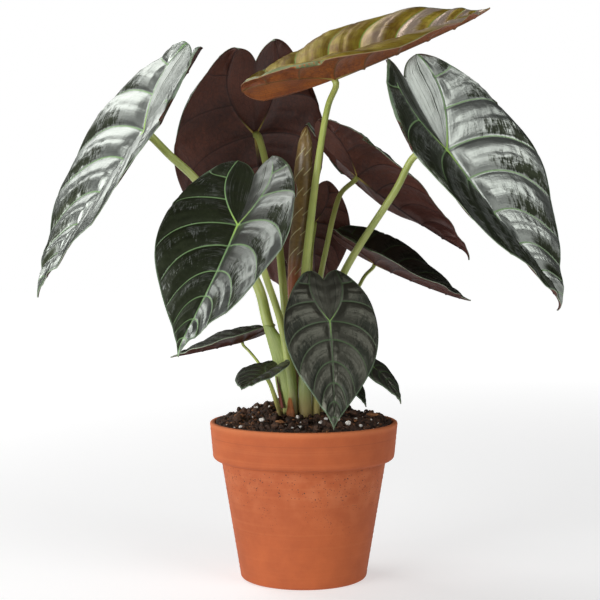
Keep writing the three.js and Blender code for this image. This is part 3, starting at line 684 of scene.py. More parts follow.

# %% [markdown]
# ## The top skin
# It is nearly black green, leathery and satin. Its silver is a broad reflection, so the finish
# is a dark base under a strong, slightly rough mirror, tinted silver on the pillows and broken
# up by ripples. Next to each vein and on the shaded side of a pillow the mirror gives way to
# the dark base: that is painted shade, and the ripples are painted in light and shade too.

# %% Top of a blade
def blade_top(name, dark, silver, vein_color, rib_color, shine, seed, young=False):
    finish = Finish(name)
    number, t, share, side_vein, rib, joint, edge = vein_masks(finish)
    at = finish.place()
    cloud = finish.noise(70, at, detail=5)
    fine = finish.noise(480, at, detail=3)
    streak = finish.streaks(number * 22, t * 6, seed, detail=3, distortion=0.5)
    fringe = finish.streaks(number * 2.6, t * 17, seed, detail=3, distortion=0.8)
    strokes = finish.streaks(number * 5, t * 42, seed, detail=2, distortion=0.6)
    # the shade painted on this half of the blade: it weakens the silver and the veins
    painted_half_shade, _ = finish.uv("sheen")
    # painted shade: the side of each pillow that turns away from the light, and the groove beside
    # each vein
    shaded_side = share.smooth(0.35, 0.85) * (1 - share.smooth(0.94, 1.0)) * t.smooth(0.1, 0.6)
    painted_shade_beside_vein = 1 - share.smooth(0.02, 0.14)
    calm = 1 - number.smooth(4.9, 6.9)
    # painted light and shade of the small ripples, on top of their bumps
    painted_ripple_shading = ((fringe - 0.5) * 1.7 + (strokes - 0.5) * 1.5) * t.smooth(0.05, 0.5) * calm
    # how far the silver gives way to the dark base: painted shade and painted ripples, with random
    # patches
    painted_shade_and_patches = (shaded_side * 0.72 + painted_shade_beside_vein * 0.3) * (1 - number.smooth(6.8, 8.2) * 0.7) \
        + painted_ripple_shading * (share.smooth(0.1, 0.5) * 0.7 + 0.3) \
        + (cloud - 0.5) * 0.9 + (streak - 0.5) * 0.9 * calm \
        + painted_half_shade * (0.85 - t.smooth(0.55, 0.9) * 0.4 * share.smooth(0.3, 0.7))
    sheen = 1 - painted_shade_and_patches.smooth(0.1, 0.74)
    skin = (cloud * 0.6 + fine * 0.4).smooth(0.3, 0.75).mix(dark, tuple(c * 2.0 for c in dark))
    if young:
        gold = (cloud * 0.7 + streak * 0.4).smooth(0.35, 0.75)
        skin = gold.mix(skin, (0.27, 0.215, 0.02))
        # painted highlight: the golden leaf's silver is kept to its outer part and to the lobeward
        # side of each pillow, which turns to the light
        sheen = sheen * number.smooth(3.2, 6.0) * (1 - share.smooth(0.45, 0.75))
    body = (sheen * shine).mix(skin, silver)
    body = (edge * 0.7).mix(body, (0.10, 0.16, 0.085))
    veined = (side_vein * (0.85 - painted_half_shade * 0.3)).mix(body, vein_color)
    color = rib.mix(veined, joint.mix(vein_color, rib_color))
    plain = side_vein.max(rib)
    metal = (sheen * 0.45 + 0.55) * shine * (1 - plain * 0.9) * (1 - edge * 0.8)
    rough = 0.35 + (fine - 0.5) * 0.12 + (1 - sheen) * 0.14 + plain * 0.08
    grain = finish.cells(900, at)
    ridges = finish.bump(fine * 0.5 + grain * 0.5, 0.00007, 0.6)
    wrinkles = (streak * 0.4 + fringe * 0.4 + strokes * 0.5) * calm
    crumple = finish.bump(wrinkles, 0.00045, 0.65, ridges)
    return finish.set(Base_Color=color, Metallic=metal, Roughness=rough, Normal=crumple,
                      Specular_IOR_Level=0.35)


# %% [markdown]
# ## The underside and the rim
# The underside is a duller burgundy with darker veins and a fine net between them, greyer
# towards the tip. The rim is a thin pale line where the skins meet.

# %% Underside and rim of a blade
def blade_under(name, deep, warm, vein_color, seed):
    finish = Finish(name)
    number, t, share, side_vein, rib, joint, edge = vein_masks(finish)
    at = finish.place()
    cloud = finish.noise(30, at, detail=4)
    streak = finish.streaks(number * 9, t * 30, seed, detail=4)
    fine = finish.noise(600, at, detail=2)
    body = (cloud * 0.8 + streak * 0.5 - 0.12).smooth(0.25, 0.85).mix(deep, warm)
    dusk = number.smooth(2.4, 5.5) * 0.6 + (cloud - 0.5) * 0.8
    body = dusk.mix(body, tuple(0.35 * c + 0.65 * g for c, g in zip(warm, (0.07, 0.034, 0.034))))
    net = finish.cells(260, at, "DISTANCE_TO_EDGE").smooth(0.0, 0.09)
    body = ((1 - net) * 0.28).mix(body, tuple(c * 0.45 for c in deep))
    body = (side_vein * 0.7).mix(body, vein_color)
    color = (rib * 0.75).mix(body, vein_color)
    color = (joint * joint * rib).mix(color, (0.36, 0.27, 0.06))
    rough = 0.5 + (fine - 0.5) * 0.15 + (streak - 0.5) * 0.1
    ridges = finish.bump(fine * 0.4 + (1 - net) * 0.6, 0.00022, 0.6)
    return finish.set(Base_Color=color, Roughness=rough, Normal=ridges,
                      Specular_IOR_Level=0.3)


def rim_finish(name, color):
    finish = Finish(name)
    patch = finish.noise(160, detail=3)
    paint = patch.smooth(0.35, 0.7).mix(tuple(c * 0.7 for c in color), color)
    return finish.set(Base_Color=paint, Roughness=0.42,
                      Normal=finish.bump(patch, 0.0001, 0.5))


# %% [markdown]
# ## The finishes in use
# Grown leaves have the silver and green top, the small and shaded ones a darker top with less
# silver, which is partly their own colour and partly painted shade, and the youngest open leaf
# is still golden with rust underneath. One recipe with other colours gives all three.

# %% The finishes in use
old_top = blade_top("silver_green_top", (0.013, 0.017, 0.007), (0.285, 0.305, 0.28),
                    (0.20, 0.34, 0.14), (0.34, 0.54, 0.12), 0.94, 0.0)
dark_top = blade_top("dark_green_top", (0.009, 0.011, 0.006), (0.080, 0.080, 0.062),
                     (0.045, 0.080, 0.03), (0.16, 0.28, 0.07), 0.66, 3.0)
young_top = blade_top("golden_top", (0.10, 0.045, 0.004), (0.78, 0.62, 0.52),
                      (0.13, 0.24, 0.03), (0.22, 0.32, 0.05), 0.85, 5.0, young=True)
old_under = blade_under("burgundy_underside", (0.034, 0.011, 0.008), (0.112, 0.033, 0.017),
                        (0.020, 0.006, 0.005), 1.0)
young_under = blade_under("rust_underside", (0.10, 0.022, 0.010), (0.42, 0.125, 0.014),
                          (0.12, 0.06, 0.012), 2.0)
old_rim = rim_finish("pale_rim", (0.30, 0.36, 0.25))
young_rim = rim_finish("rust_rim", (0.36, 0.20, 0.08))
print("blade finishes made")

# %% [markdown]
# ## The blades
# Thirteen leaves, one piece each. Their seeds differ, so no two have the same ripples.

# %% Build the blades
# the small and shaded leaves: their darker top with less silver paints part of their shade
DARK_LEAVES = {"front", "right_low", "small_right", "tiny_right", "small_left", "low_round"}
for order, (name, leaf) in enumerate(LEAVES.items()):
    points, faces, finish, maps = blade_mesh(name, leaf, order * 1.7)
    if name == "top":
        skins, slot = [young_top, young_under, young_rim], "young_blade"
    else:
        skins, slot = [dark_top if name in DARK_LEAVES else old_top, old_under, old_rim], "blade"
    make_piece(f"{name}_blade", points, faces, skins, f"leaf_{name}_blade", finish, maps)
    print(name, "blade", len(faces), "faces")


# %% [markdown]
# ## Stalks
# A stalk is round, smooth and full of water. It is thickest at the foot, where it clasps the
# younger ones as an open sheath, thins upwards and turns into the blade within a few
# millimetres. A curve with a bevel would do for the tube, but not for the groove and the sheath
# edges, so a ring is swept along the route and shaped as it goes.

# %% Sweep rings along a route
def smooth_route(points, count):
    """Evenly spaced places on a curve through the points, which keeps its speed at each."""
    p = np.asarray(points, float)
    gaps = np.linalg.norm(np.diff(p, axis=0), axis=1) ** 0.5
    knots = np.concatenate([[0], np.cumsum(gaps)])
    tangents = np.gradient(p, knots, axis=0)
    fine = np.linspace(0, knots[-1], count * 6)
    k = np.clip(np.searchsorted(knots, fine, side="right") - 1, 0, len(p) - 2)
    width = (knots[k + 1] - knots[k])[:, None]
    x = ((fine - knots[k])[:, None]) / width
    path = ((2 * x ** 3 - 3 * x ** 2 + 1) * p[k] + (x ** 3 - 2 * x ** 2 + x) * width * tangents[k]
            + (3 * x ** 2 - 2 * x ** 3) * p[k + 1] + (x ** 3 - x ** 2) * width * tangents[k + 1])
    run = np.concatenate([[0], np.cumsum(np.linalg.norm(np.diff(path, axis=0), axis=1))])
    even = np.linspace(0, run[-1], count)
    return np.stack([np.interp(even, run, path[:, i]) for i in range(3)], -1), run[-1]


_, longest_run = smooth_route(LEAVES["left"]["route"], 90)
print("the left stalk runs", round(longest_run), "mm")


def ring_frames(path):
    """Directions across a path, turned as little as possible from ring to ring."""
    along = np.gradient(path, axis=0)
    along /= np.linalg.norm(along, axis=1, keepdims=True)
    across = np.zeros_like(path)
    last = np.array([0.0, -1.0, 0.0])
    for i, direction in enumerate(along):
        last = last - direction * last.dot(direction)
        last /= np.linalg.norm(last)
        across[i] = last
    return along, across, np.cross(along, across)


def swept_mesh(path, radius_at, sides):
    along, across, other = ring_frames(path)
    rings = len(path)
    share, angle = np.meshgrid(np.linspace(0, 1, rings), np.arange(sides) * 2 * np.pi / sides,
                               indexing="ij")
    radius = radius_at(share, angle)
    points = (path[:, None] + across[:, None] * (radius * np.cos(angle))[..., None]
              + other[:, None] * (radius * np.sin(angle))[..., None]).reshape(-1, 3)
    faces, coords = ring_faces(rings, sides), []
    for i in range(rings - 1):
        for k in range(sides):
            left, right = k / sides, (k + 1) / sides
            low, high = i / (rings - 1), (i + 1) / (rings - 1)
            coords += [(low, left), (low, right), (high, right), (high, left)]
    ends = len(points)
    points = np.concatenate([points, [path[0] - along[0] * 0.4], [path[-1] + along[-1] * 0.4]])
    for k in range(sides):
        n = (k + 1) % sides
        faces.append([ends, n, k])
        coords += [(0, 0.5), (0, (k + 1) / sides), (0, k / sides)]
        faces.append([ends + 1, (rings - 1) * sides + k, (rings - 1) * sides + n])
        coords += [(1, 0.5), (1, k / sides), (1, (k + 1) / sides)]
    return points * MM, faces, {"stem": np.array(coords)}


# %% [markdown]
# ## The stalk's finish
# Yellow green above, paler and pinker at the foot, with fine streaks along its length. A plant
# stem is slightly translucent, so a little light passes under its skin.

# %% The stalk finish
def stalk_finish():
    finish = Finish("stalk_skin")
    share, around = finish.uv("stem")
    streak = finish.streaks(share * 3, around * 34, 0, detail=4)
    lines = finish.streaks(share * 7, around * 90, 4, detail=2)
    cloud = finish.noise(45, detail=3)
    green = (cloud * 0.6 + streak * 0.4).smooth(0.3, 0.7).mix((0.30, 0.37, 0.085),
                                                              (0.48, 0.53, 0.15))
    low = share.smooth(0.55, 0.95)
    green = low.mix(green, (0.27, 0.35, 0.10))
    blush = (1 - (finish.height() * 1000).smooth(112, 138)) * (0.45 + cloud * 0.5)
    green = blush.mix(green, (0.40, 0.27, 0.12))
    green = (lines.smooth(0.55, 0.75) * 0.22).mix(green, (0.16, 0.22, 0.05))
    fine = finish.noise(900, detail=2)
    skin = finish.bump(lines * 0.7 + fine * 0.3, 0.00018, 0.5)
    rough = 0.36 + (streak - 0.5) * 0.16
    return finish.set(Base_Color=green, Roughness=rough, Normal=skin, Coat_Weight=0.12,
                      Coat_Roughness=0.25, Subsurface_Weight=0.12,
                      Subsurface_Radius=(0.003, 0.003, 0.001))


stalk_skin = stalk_finish()
print("made", stalk_skin.name)

# %% [markdown]
# ## The stalks
# Each follows its leaf's route from just under the joint into the crown. Its section has faint
# ribs, and at the foot a seam where the stalk laps round the younger ones.

# %% Build the stalks
STALK_SIDES = 28


def stalk_mesh(leaf):
    up = blade_axes(leaf)[2]
    thin, thick = leaf["radii"]
    joint = np.asarray(leaf["joint"], float)
    under = [joint - up * d for d in (0.6, 0.6 + 1.7 * thin)]
    foot = [*leaf["route"][-1][:2], CROWN_LEVEL - 3]
    path, length = smooth_route([*under, *leaf["route"], foot], 90 if thin > 1.5 else 60)

    def radius_at(share, angle):
        radius = thin + (thick - thin) * share ** 1.5
        knee = 0.10 * thin * np.exp(-(share * length / (2.6 * thin)) ** 2)
        sheath = smoothstep(share * length, length - 46, length - 6)
        ribs = 0.012 * np.cos(9 * angle + 2 * share) + 0.008 * np.cos(17 * angle)
        broad = leaf.get("foot", 0) * smoothstep(share * length, length - 60, length - 25)
        seam = 0.14 * np.exp(-((angle - 1.15) / 0.16) ** 2)
        lap = -0.10 * np.exp(-((angle - 1.45) / 0.22) ** 2)
        return (radius + knee) * (1 + ribs + broad + sheath * (0.07 + seam + lap))

    return swept_mesh(path, radius_at, STALK_SIDES)


for name, leaf in LEAVES.items():
    points, faces, maps = stalk_mesh(leaf)
    make_piece(f"{name}_stalk", points, faces, [stalk_skin], f"leaf_{name}_stalk",
               maps=maps)
print("stalks", len(LEAVES))

# %% [markdown]
# ## An open sheath
# The oldest stalk opens at its foot into a broad sheath that lies round the younger stalks and
# the new leaf. It is a thin green skin with a dry reddish margin: one line of the section starts
# on the stalk, passes in front of the new leaf and ends free, and the sections are stacked up.

# %% The open sheath of the oldest stalk
OPEN_SHEATH = [  # height, the stalk's centre there and its radius, then the free margin
    (107, (-9.2, -3.8), 4.7, (-4.4, -11.4)), (118, (-10.6, -5.2), 4.7, (-4.2, -12.6)),
    (130, (-14.0, -7.0), 4.7, (-4.6, -13.2)), (141, (-15.9, -7.5), 4.6, (-5.2, -13.0)),
    (153, (-18.0, -8.0), 4.5, (-8.4, -12.8)), (165, (-21.5, -7.5), 4.4, (-14.2, -12.2)),
    (174, (-24.1, -7.1), 4.3, (-20.6, -11.0)),
]


def open_sheath_mesh(rows=90, columns=30):
    level = np.linspace(OPEN_SHEATH[0][0], OPEN_SHEATH[-1][0], rows + 1)
    marks = [row[0] for row in OPEN_SHEATH]
    table = np.array([[*row[1], row[2], *row[3]] for row in OPEN_SHEATH])
    x, y, r, ex, ey = (np.interp(level, marks, table[:, i]) for i in range(5))
    t = np.linspace(0, 1, columns + 1)[None, :]
    points = np.zeros((rows + 1, columns + 1, 3))
    start = np.stack([x - 0.80 * r, y - 0.62 * r], -1)[:, None]
    bend = np.stack([x - 0.25 * r, np.minimum(y - 1.25 * r, ey - 1.0)], -1)[:, None]
    bulge = np.stack([ex - 0.3, ey - 1.6], -1)[:, None]
    end = np.stack([ex, ey + 1.0], -1)[:, None]
    s = 1 - t[..., None]
    q = t[..., None]
    points[..., :2] = s ** 3 * start + 3 * s * s * q * bend + 3 * s * q * q * bulge + q ** 3 * end
    points[..., 2] = level[:, None] + 0.4 * np.sin(5 * t + level[:, None] / 9)
    solid, closed = solid_sheet(points, 0.3)
    coords = np.full((len(solid), 2), 0.9)
    coords[:, 1] = np.tile(t.ravel(), 2 * (rows + 1))
    return solid, closed, {"stem": coords[[k for face in closed for k in face]]}


def sheath_finish():
    finish = Finish("green_sheath")
    _, across = finish.uv("stem")
    z = finish.height() * 1000
    lines = finish.streaks(z * 0.05, across * 42, 2, detail=3)
    cloud = finish.noise(60, detail=3)
    green = (lines * 0.6 + cloud * 0.4).smooth(0.3, 0.7).mix((0.20, 0.27, 0.06),
                                                           (0.36, 0.43, 0.12))
    pale = (1 - z.smooth(112, 128)) * 0.5
    green = pale.mix(green, (0.42, 0.36, 0.16))
    margin = across.smooth(0.86, 0.97)
    green = (margin * 0.8).mix(green, (0.30, 0.14, 0.07))
    return finish.set(Base_Color=green, Roughness=0.42 + (lines - 0.5) * 0.15,
                      Normal=finish.bump(lines, 0.0003, 0.6))


points, faces, maps = open_sheath_mesh()
make_piece("open_sheath", points, faces, [sheath_finish()], maps=maps)
print("open sheath", len(faces), "faces")

# %% [markdown]
# ## The rolled new leaf
# A new leaf comes up furled round itself like a paper cone, its underside outwards, with the
# edge of the last turn running down the front and pale side veins slanting across. The cross
# section is a spiral: the radius grows a little over one turn and steps back at the edge.

# %% New leaf
NEW_LEAF = [  # place on the centreline and radius, from the soil to the blunt point
    ((-0.6, -1.5, 107), 3.6), ((-1.6, -2.5, 120), 3.8), ((-4.5, -5, 138), 4.0),
    ((-5.5, -5, 157), 4.2), ((-6.5, -4.5, 192), 4.3), ((-6.2, -4, 209), 4.7),
    ((-4, -3, 226), 6.2), ((-0.8, -2, 250), 7.0), ((0, -1, 281), 6.4), ((1.2, -0.5, 299), 4.9),
    ((1.4, 0, 307), 2.9), ((1.6, 0, 310.6), 0.7),
]
FURLED_VEINS, FURLED_SLANT = 15, 3.4  # side veins along it, and how far they slant in a turn


def new_leaf_finish():
    finish = Finish("furled_leaf")
    share, around = finish.uv("stem")
    phase = (share * FURLED_VEINS - around * FURLED_SLANT).fract()
    line = 1 - (abs(phase - 0.5) * 2).smooth(0.0, 0.12)
    lobes = finish.noise(60, detail=4)
    fine = finish.noise(500, detail=3)
    streak = finish.streaks(share * 90, around * 16, 0, detail=3)
    olive = (lobes * 0.6 + streak * 0.5 - 0.05).smooth(0.25, 0.8).mix((0.085, 0.052, 0.016),
                                                                     (0.21, 0.135, 0.04))
    red = share.smooth(0.42, 0.60)
    olive = (1 - red).mix(olive, (0.34, 0.085, 0.028))
    foot = 1 - share.smooth(0.12, 0.42)
    olive = (foot * 0.85).mix(olive, (0.42, 0.20, 0.07))
    edge = 1 - (abs(around - 0.5) * 60).smooth(0.4, 1.5)
    body = (line * share.smooth(0.3, 0.5) * 0.8).mix(olive, (0.46, 0.42, 0.20))
    color = (edge * 0.8).mix(body, (0.40, 0.44, 0.14))
    relief_map = finish.bump(line * 0.6 + streak * 0.3 + fine * 0.15, 0.0005, 0.6)
    return finish.set(Base_Color=color, Roughness=0.4 + (fine - 0.5) * 0.15, Normal=relief_map,
                      Coat_Weight=0.15, Coat_Roughness=0.25)


def new_leaf_mesh():
    path, _ = smooth_route([place for place, _ in NEW_LEAF], 150)
    run = np.concatenate([[0], np.cumsum(np.linalg.norm(
        np.diff([place for place, _ in NEW_LEAF], axis=0), axis=1))])
    marks, sizes = run / run[-1], [r for _, r in NEW_LEAF]

    def radius_at(share, angle):
        radius = np.interp(share, marks, sizes)
        turn = ((angle - 0.9) / (2 * np.pi)) % 1.0
        furl = smoothstep(share, 0.3, 0.6)
        spiral = 0.16 * (turn - 0.5) - 0.05 * np.exp(-((turn - 0.03) / 0.03) ** 2)
        veins = (share * FURLED_VEINS - angle / (2 * np.pi) * FURLED_SLANT) % 1.0
        bulge = 0.025 * np.sin(np.pi * veins) ** 0.7
        return radius * (1 + furl * (spiral + bulge))

    return swept_mesh(path, radius_at, 72)


points, faces, maps = new_leaf_mesh()
make_piece("furled_new_leaf", points, faces, [new_leaf_finish()], "new_leaf",
           maps=maps)
print("new leaf", len(faces), "faces")

# %% [markdown]
# ## Dry sheaths at the foot
# When a leaf has opened, the papery sheath that wrapped it dries, curls and stays at the foot.
# They are thin bowed sheets with a ragged tip, fibrous along their length and rust coloured.

# %% Sheaths
SHEATHS = {
    "dry_bract": dict(foot=(-8.6, -17.2, 108), top=(-9.4, -17.8, 125), width=7.4, bow=1.6,
                      facing=250, color=(0.50, 0.17, 0.045)),
    "cataphyll": dict(foot=(-14.6, -11.8, 118), top=(-18.4, -13.6, 139), width=3.2, bow=0.7,
                      facing=215, color=(0.16, 0.035, 0.02)),
}


def paper_finish(name, color):
    finish = Finish(name)
    fibre = finish.noise(260, finish.place((1, 1, 0.12)), detail=4)
    patch = finish.noise(110, detail=4)
    paint = (fibre * 0.7 + patch * 0.5 - 0.1).smooth(0.3, 0.75).mix(
        tuple(c * 0.28 for c in color), color)
    return finish.set(Base_Color=paint, Roughness=0.78,
                      Normal=finish.bump(fibre, 0.0004, 0.8))


def sheath_mesh(foot, top, width, bow, facing):
    rows, columns = 60, 24
    out = np.array([math.cos(math.radians(facing)), math.sin(math.radians(facing)), 0])
    across = np.array([-out[1], out[0], 0])
    points = []
    for i in range(rows + 1):
        rise = i / rows
        half = 0.5 * width * math.sqrt(max(1 - 0.97 * rise, 0.02))
        half *= 1 + 0.05 * math.sin(17 * rise)
        middle = np.asarray(foot) * (1 - rise) + np.asarray(top) * rise
        for j in range(columns + 1):
            s = 2 * j / columns - 1
            crinkle = 0.16 * math.sin(9 * s + 5 * rise) + 0.1 * math.sin(23 * s)
            ragged = 0.9 * math.sin(7 * s + 2) * rise ** 6
            points.append(middle + across * s * half + np.array([0, 0, ragged])
                          + out * (bow * (1 - s * s) * (1 - rise) + crinkle))
    return solid_sheet(np.array(points).reshape(rows + 1, columns + 1, 3), 0.15)


for name, sheath in SHEATHS.items():
    paper = paper_finish(f"{name}_paper", sheath.pop("color"))
    points, faces = sheath_mesh(**sheath)
    make_piece(f"{name}_paper", points, faces, [paper], name)
print("sheaths", list(SHEATHS))

# %% [markdown]
# ## The pot
# A plain clay pot, turned and fired without glaze. Its wall tapers straight down from under a
# thick rim. The solid frame is cut in flats, so the pot is turned again here with a fine ring
# count and the same profile, and the hand of the maker shows as shallow throwing lines.

# %% Pot shape
POT = dict(height=108, rim_height=26, rim=65, rim_lower=62.6, shoulder=57, base=43.5, wall=6,
           floor=7, drain=10, rim_wall=3.6, flare_low=78, flare_high=88)


def inner_radius(z):
    """The inside of the wall, which opens out behind the rim band."""
    rise = z / (POT["height"] - POT["rim_height"])
    body = POT["base"] + (POT["shoulder"] - POT["base"]) * rise - POT["wall"]
    taper = (POT["rim"] - POT["rim_lower"]) * (POT["height"] - z) / POT["rim_height"]
    rim = POT["rim"] - POT["rim_wall"] - taper
    flare = (z - POT["flare_low"]) / (POT["flare_high"] - POT["flare_low"])
    return body + (rim - body) * min(max(flare, 0), 1)


def rounded(points, corner_steps=5):
    """Replaces each inner corner of a closed profile given with a radius by a small arc."""
    result = []
    for i, (r, z, radius) in enumerate(points):
        here = np.array([r, z])
        before = np.array(points[i - 1][:2]) - here
        after = np.array(points[(i + 1) % len(points)][:2]) - here
        if radius == 0:
            result.append(here)
            continue
        start = here + before / np.linalg.norm(before) * radius
        end = here + after / np.linalg.norm(after) * radius
        for t in np.linspace(0, 1, corner_steps):
            result.append((1 - t) ** 2 * start + 2 * t * (1 - t) * here + t * t * end)
    return result


def finely_cut(profile, longest):
    cut = []
    for here, after in zip(profile, profile[1:] + profile[:1]):
        pieces = max(1, int(np.linalg.norm(after - here) / longest))
        cut += [here + (after - here) * k / pieces for k in range(pieces)]
    return cut


print("inside radius at the floor and the mouth in mm",
      round(inner_radius(POT["floor"]), 1), round(inner_radius(POT["height"]), 1))


def pot_mesh(segments=256):
    h, band = POT["height"], POT["height"] - POT["rim_height"]
    mouth = inner_radius(h)
    corners = [(POT["drain"], 0, 0.8), (POT["base"], 0, 2.2), (POT["shoulder"], band - 0.3, 1.2),
               (POT["rim_lower"], band + 0.4, 2.6), (POT["rim"], h, 1.8), (mouth, h, 1.5),
               (inner_radius(POT["flare_high"]), POT["flare_high"], 2.0),
               (inner_radius(POT["flare_low"]), POT["flare_low"], 2.0),
               (inner_radius(POT["floor"]), POT["floor"], 2.0), (POT["drain"], POT["floor"], 0.8)]
    profile = finely_cut(rounded(corners), 1.6)
    points = []
    for r, z in profile:
        outside = r > inner_radius(z) + 2 and 3 < z < h - 2
        for k in range(segments):
            angle = 2 * math.pi * k / segments
            line = 0.07 * math.sin(z * 2.1 + 0.5 * math.sin(angle + 1)) \
                + 0.05 * math.sin(z * 5.3 + angle)
            hand = 0.18 * math.sin(2 * angle + 0.6) * (z / h) \
                + 0.05 * math.sin(3 * angle - 0.04 * z)
            rr = r + (line + hand - 0.15 if outside else 0)
            points.append((rr * math.cos(angle), rr * math.sin(angle), z))
    return np.array(points) * MM, ring_faces(len(profile), segments, closed=True)


# %% [markdown]
# ## Fired clay
# Fired clay is never one colour: it is orange where the kiln was hottest, greyer where water
# and salts have come through, with fine dark specks, faint rings from turning and a powdery
# pale bloom just under the rim.

# %% Pot finish
def clay_finish():
    finish = Finish("fired_clay")
    at = finish.place()
    z = finish.height() * 1000
    patch = finish.noise(14, at, detail=5, roughness=0.6)
    mottled = finish.noise(90, at, detail=5)
    sand = finish.noise(1300, at, detail=2)
    rings = finish.noise(1.0, finish.place((6, 6, 420)), detail=3)
    clay = (patch * 0.7 + mottled * 0.4 - 0.05).smooth(0.25, 0.8).mix((0.34, 0.070, 0.016),
                                                                   (0.475, 0.108, 0.026))
    clay = (rings.smooth(0.5, 0.8) * 0.14).mix(clay, (0.62, 0.21, 0.075))
    under_rim = z.smooth(30, 76) * (1 - z.smooth(78, 82))
    bloom = under_rim * mottled.smooth(0.35, 0.8) * 0.18
    clay = bloom.mix(clay, (0.58, 0.27, 0.14))
    below_rim = z.smooth(22, 74) * (1 - z.smooth(79, 83))
    chance = finish.noise(55, at, detail=2)
    for scale, size in ((270, 0.16), (520, 0.20)):
        spots = finish.cells(scale, at)
        speck = (1 - spots.smooth(size * 0.55, size)) \
            * (chance + below_rim * 0.22).smooth(0.56, 0.66)
        clay = (speck * (0.12 + below_rim * 0.9)).mix(clay, (0.055, 0.022, 0.014))
    lip = z.smooth(103, 107.5)
    clay = (lip * 0.35).mix(clay, (0.64, 0.22, 0.08))
    seam = 1 - (abs(z - 98.3) / 0.5).smooth(0.2, 1.0)
    clay = (seam * 0.35).mix(clay, (0.25, 0.055, 0.016))
    grit = finish.bump(sand * 0.5 + mottled * 0.5, 0.00035, 0.5)
    turned = finish.bump(rings, 0.0004, 0.3, grit)
    rough = 0.80 + (sand - 0.5) * 0.2
    return finish.set(Base_Color=clay, Roughness=rough, Normal=turned)


points, faces = pot_mesh()
make_piece("clay_pot", points, faces, [clay_finish()], "pot")

# %% [markdown]
# ## The potting mix
# A chunky mix of bark, peat and perlite is not a surface but a heap. The body of it is one
# lumpy closed mound; on top lie many separate chips. Each chip is a small rough stone made by
# pushing the corners of a subdivided ball in and out, scattered with a seeded draw so that the
# heap is the same every time. Larger perlite grains and bark chips are pieces of their own.

# %% Mound
SOIL = dict(crown_flat=24, wall_level=104, clearance=0.4)
WALL = inner_radius(SOIL["wall_level"]) - SOIL["clearance"]
rng = random.Random(7)


def soil_level(x, y):
    fall = min(max((math.hypot(x, y) - SOIL["crown_flat"]) / (WALL - SOIL["crown_flat"]), 0), 1)
    return CROWN_LEVEL - (CROWN_LEVEL - SOIL["wall_level"]) * fall ** 1.3


def lumps(x, y):
    """Gentle lumps of the heap in mm, higher behind and to the left."""
    wave = (math.sin(0.21 * x + 1.3) * math.cos(0.19 * y - 0.4)
            + 0.6 * math.sin(0.43 * x - 0.37 * y) + 0.45 * math.cos(0.71 * y + 0.33 * x + 2))
    heap = 6.5 * math.exp(-((x + 21) ** 2 + (y - 14) ** 2) / 330) + 0.8
    return 1.3 * wave + heap + 2.0 * smoothstep(np.hypot(x, y), 36, 52) * (y > -30) + 0.6


def mound_mesh(rings=70, segments=200):
    points = [(0, 0, soil_level(0, 0) + lumps(0, 0))]
    for i in range(1, rings + 1):
        r = WALL * i / rings
        for k in range(segments):
            angle = 2 * math.pi * (k + 0.5 * (i % 2)) / segments
            x, y = r * math.cos(angle), r * math.sin(angle)
            crumb = 0.55 * math.sin(1.9 * x + 0.7 * y) * math.sin(2.3 * y - 0.4 * x)
            points.append((x, y, soil_level(x, y) + lumps(x, y) + crumb
                           + rng.uniform(-0.35, 0.35)))
    levels = (POT["flare_high"], POT["flare_low"], POT["floor"] + 2 * SOIL["clearance"])
    for level in levels:
        for x, y, _ in points[-segments:]:
            size = (inner_radius(level) - 0.8) / math.hypot(x, y)
            points.append((x * size, y * size, level))
    bottom = len(points)
    points.append((0, 0, level))
    faces = [[0, 1 + k, 1 + (k + 1) % segments] for k in range(segments)]
    faces += [[1 + a, 1 + d, 1 + c, 1 + b]
              for a, b, c, d in ring_faces(rings + len(levels), segments)]
    edge = bottom - segments
    faces += [[edge + (k + 1) % segments, edge + k, bottom] for k in range(segments)]
    return np.array(points) * MM, faces


def earth_finish(name, dark, light):
    finish = Finish(name)
    at = finish.place()
    clump = finish.noise(330, at, detail=6, roughness=0.7)
    patch = finish.noise(70, at, detail=3)
    grain = finish.cells(700, at)
    paint = (clump * 0.8 + patch * 0.35 - 0.1).smooth(0.3, 0.78).mix(dark, light)
    damp = 0.78 + (clump - 0.5) * 0.3
    return finish.set(Base_Color=paint, Roughness=damp,
                      Normal=finish.bump(clump * 0.6 + grain * 0.4, 0.0012, 0.9))


earth = earth_finish("damp_earth", (0.012, 0.006, 0.003), (0.075, 0.034, 0.017))
points, faces = mound_mesh()
make_piece("potting_mix", points, faces, [earth], "soil")
print("mound", len(faces), "faces")


# %% [markdown]
# ## A chip
# A chip is a ball of triangles pushed in and out by a few waves and cut by a few flats. A
# displacement modifier would do the same, but slower and not for thousands of chips.

# %% Chips: rough little bodies
def ball(level):
    """Corners and faces of a ball made of triangles, as arrays."""
    mesh = bpy.data.meshes.new("ball")
    made = bmesh.new()
    bmesh.ops.create_icosphere(made, subdivisions=level, radius=1)
    made.to_mesh(mesh)
    made.free()
    corners = np.array([v.co[:] for v in mesh.vertices])
    faces = [list(p.vertices) for p in mesh.polygons]
    bpy.data.meshes.remove(mesh)
    return corners, faces


BALLS = {level: ball(level) for level in (2, 3, 4)}
print("corners of each ball", {level: len(corners) for level, (corners, _) in BALLS.items()})


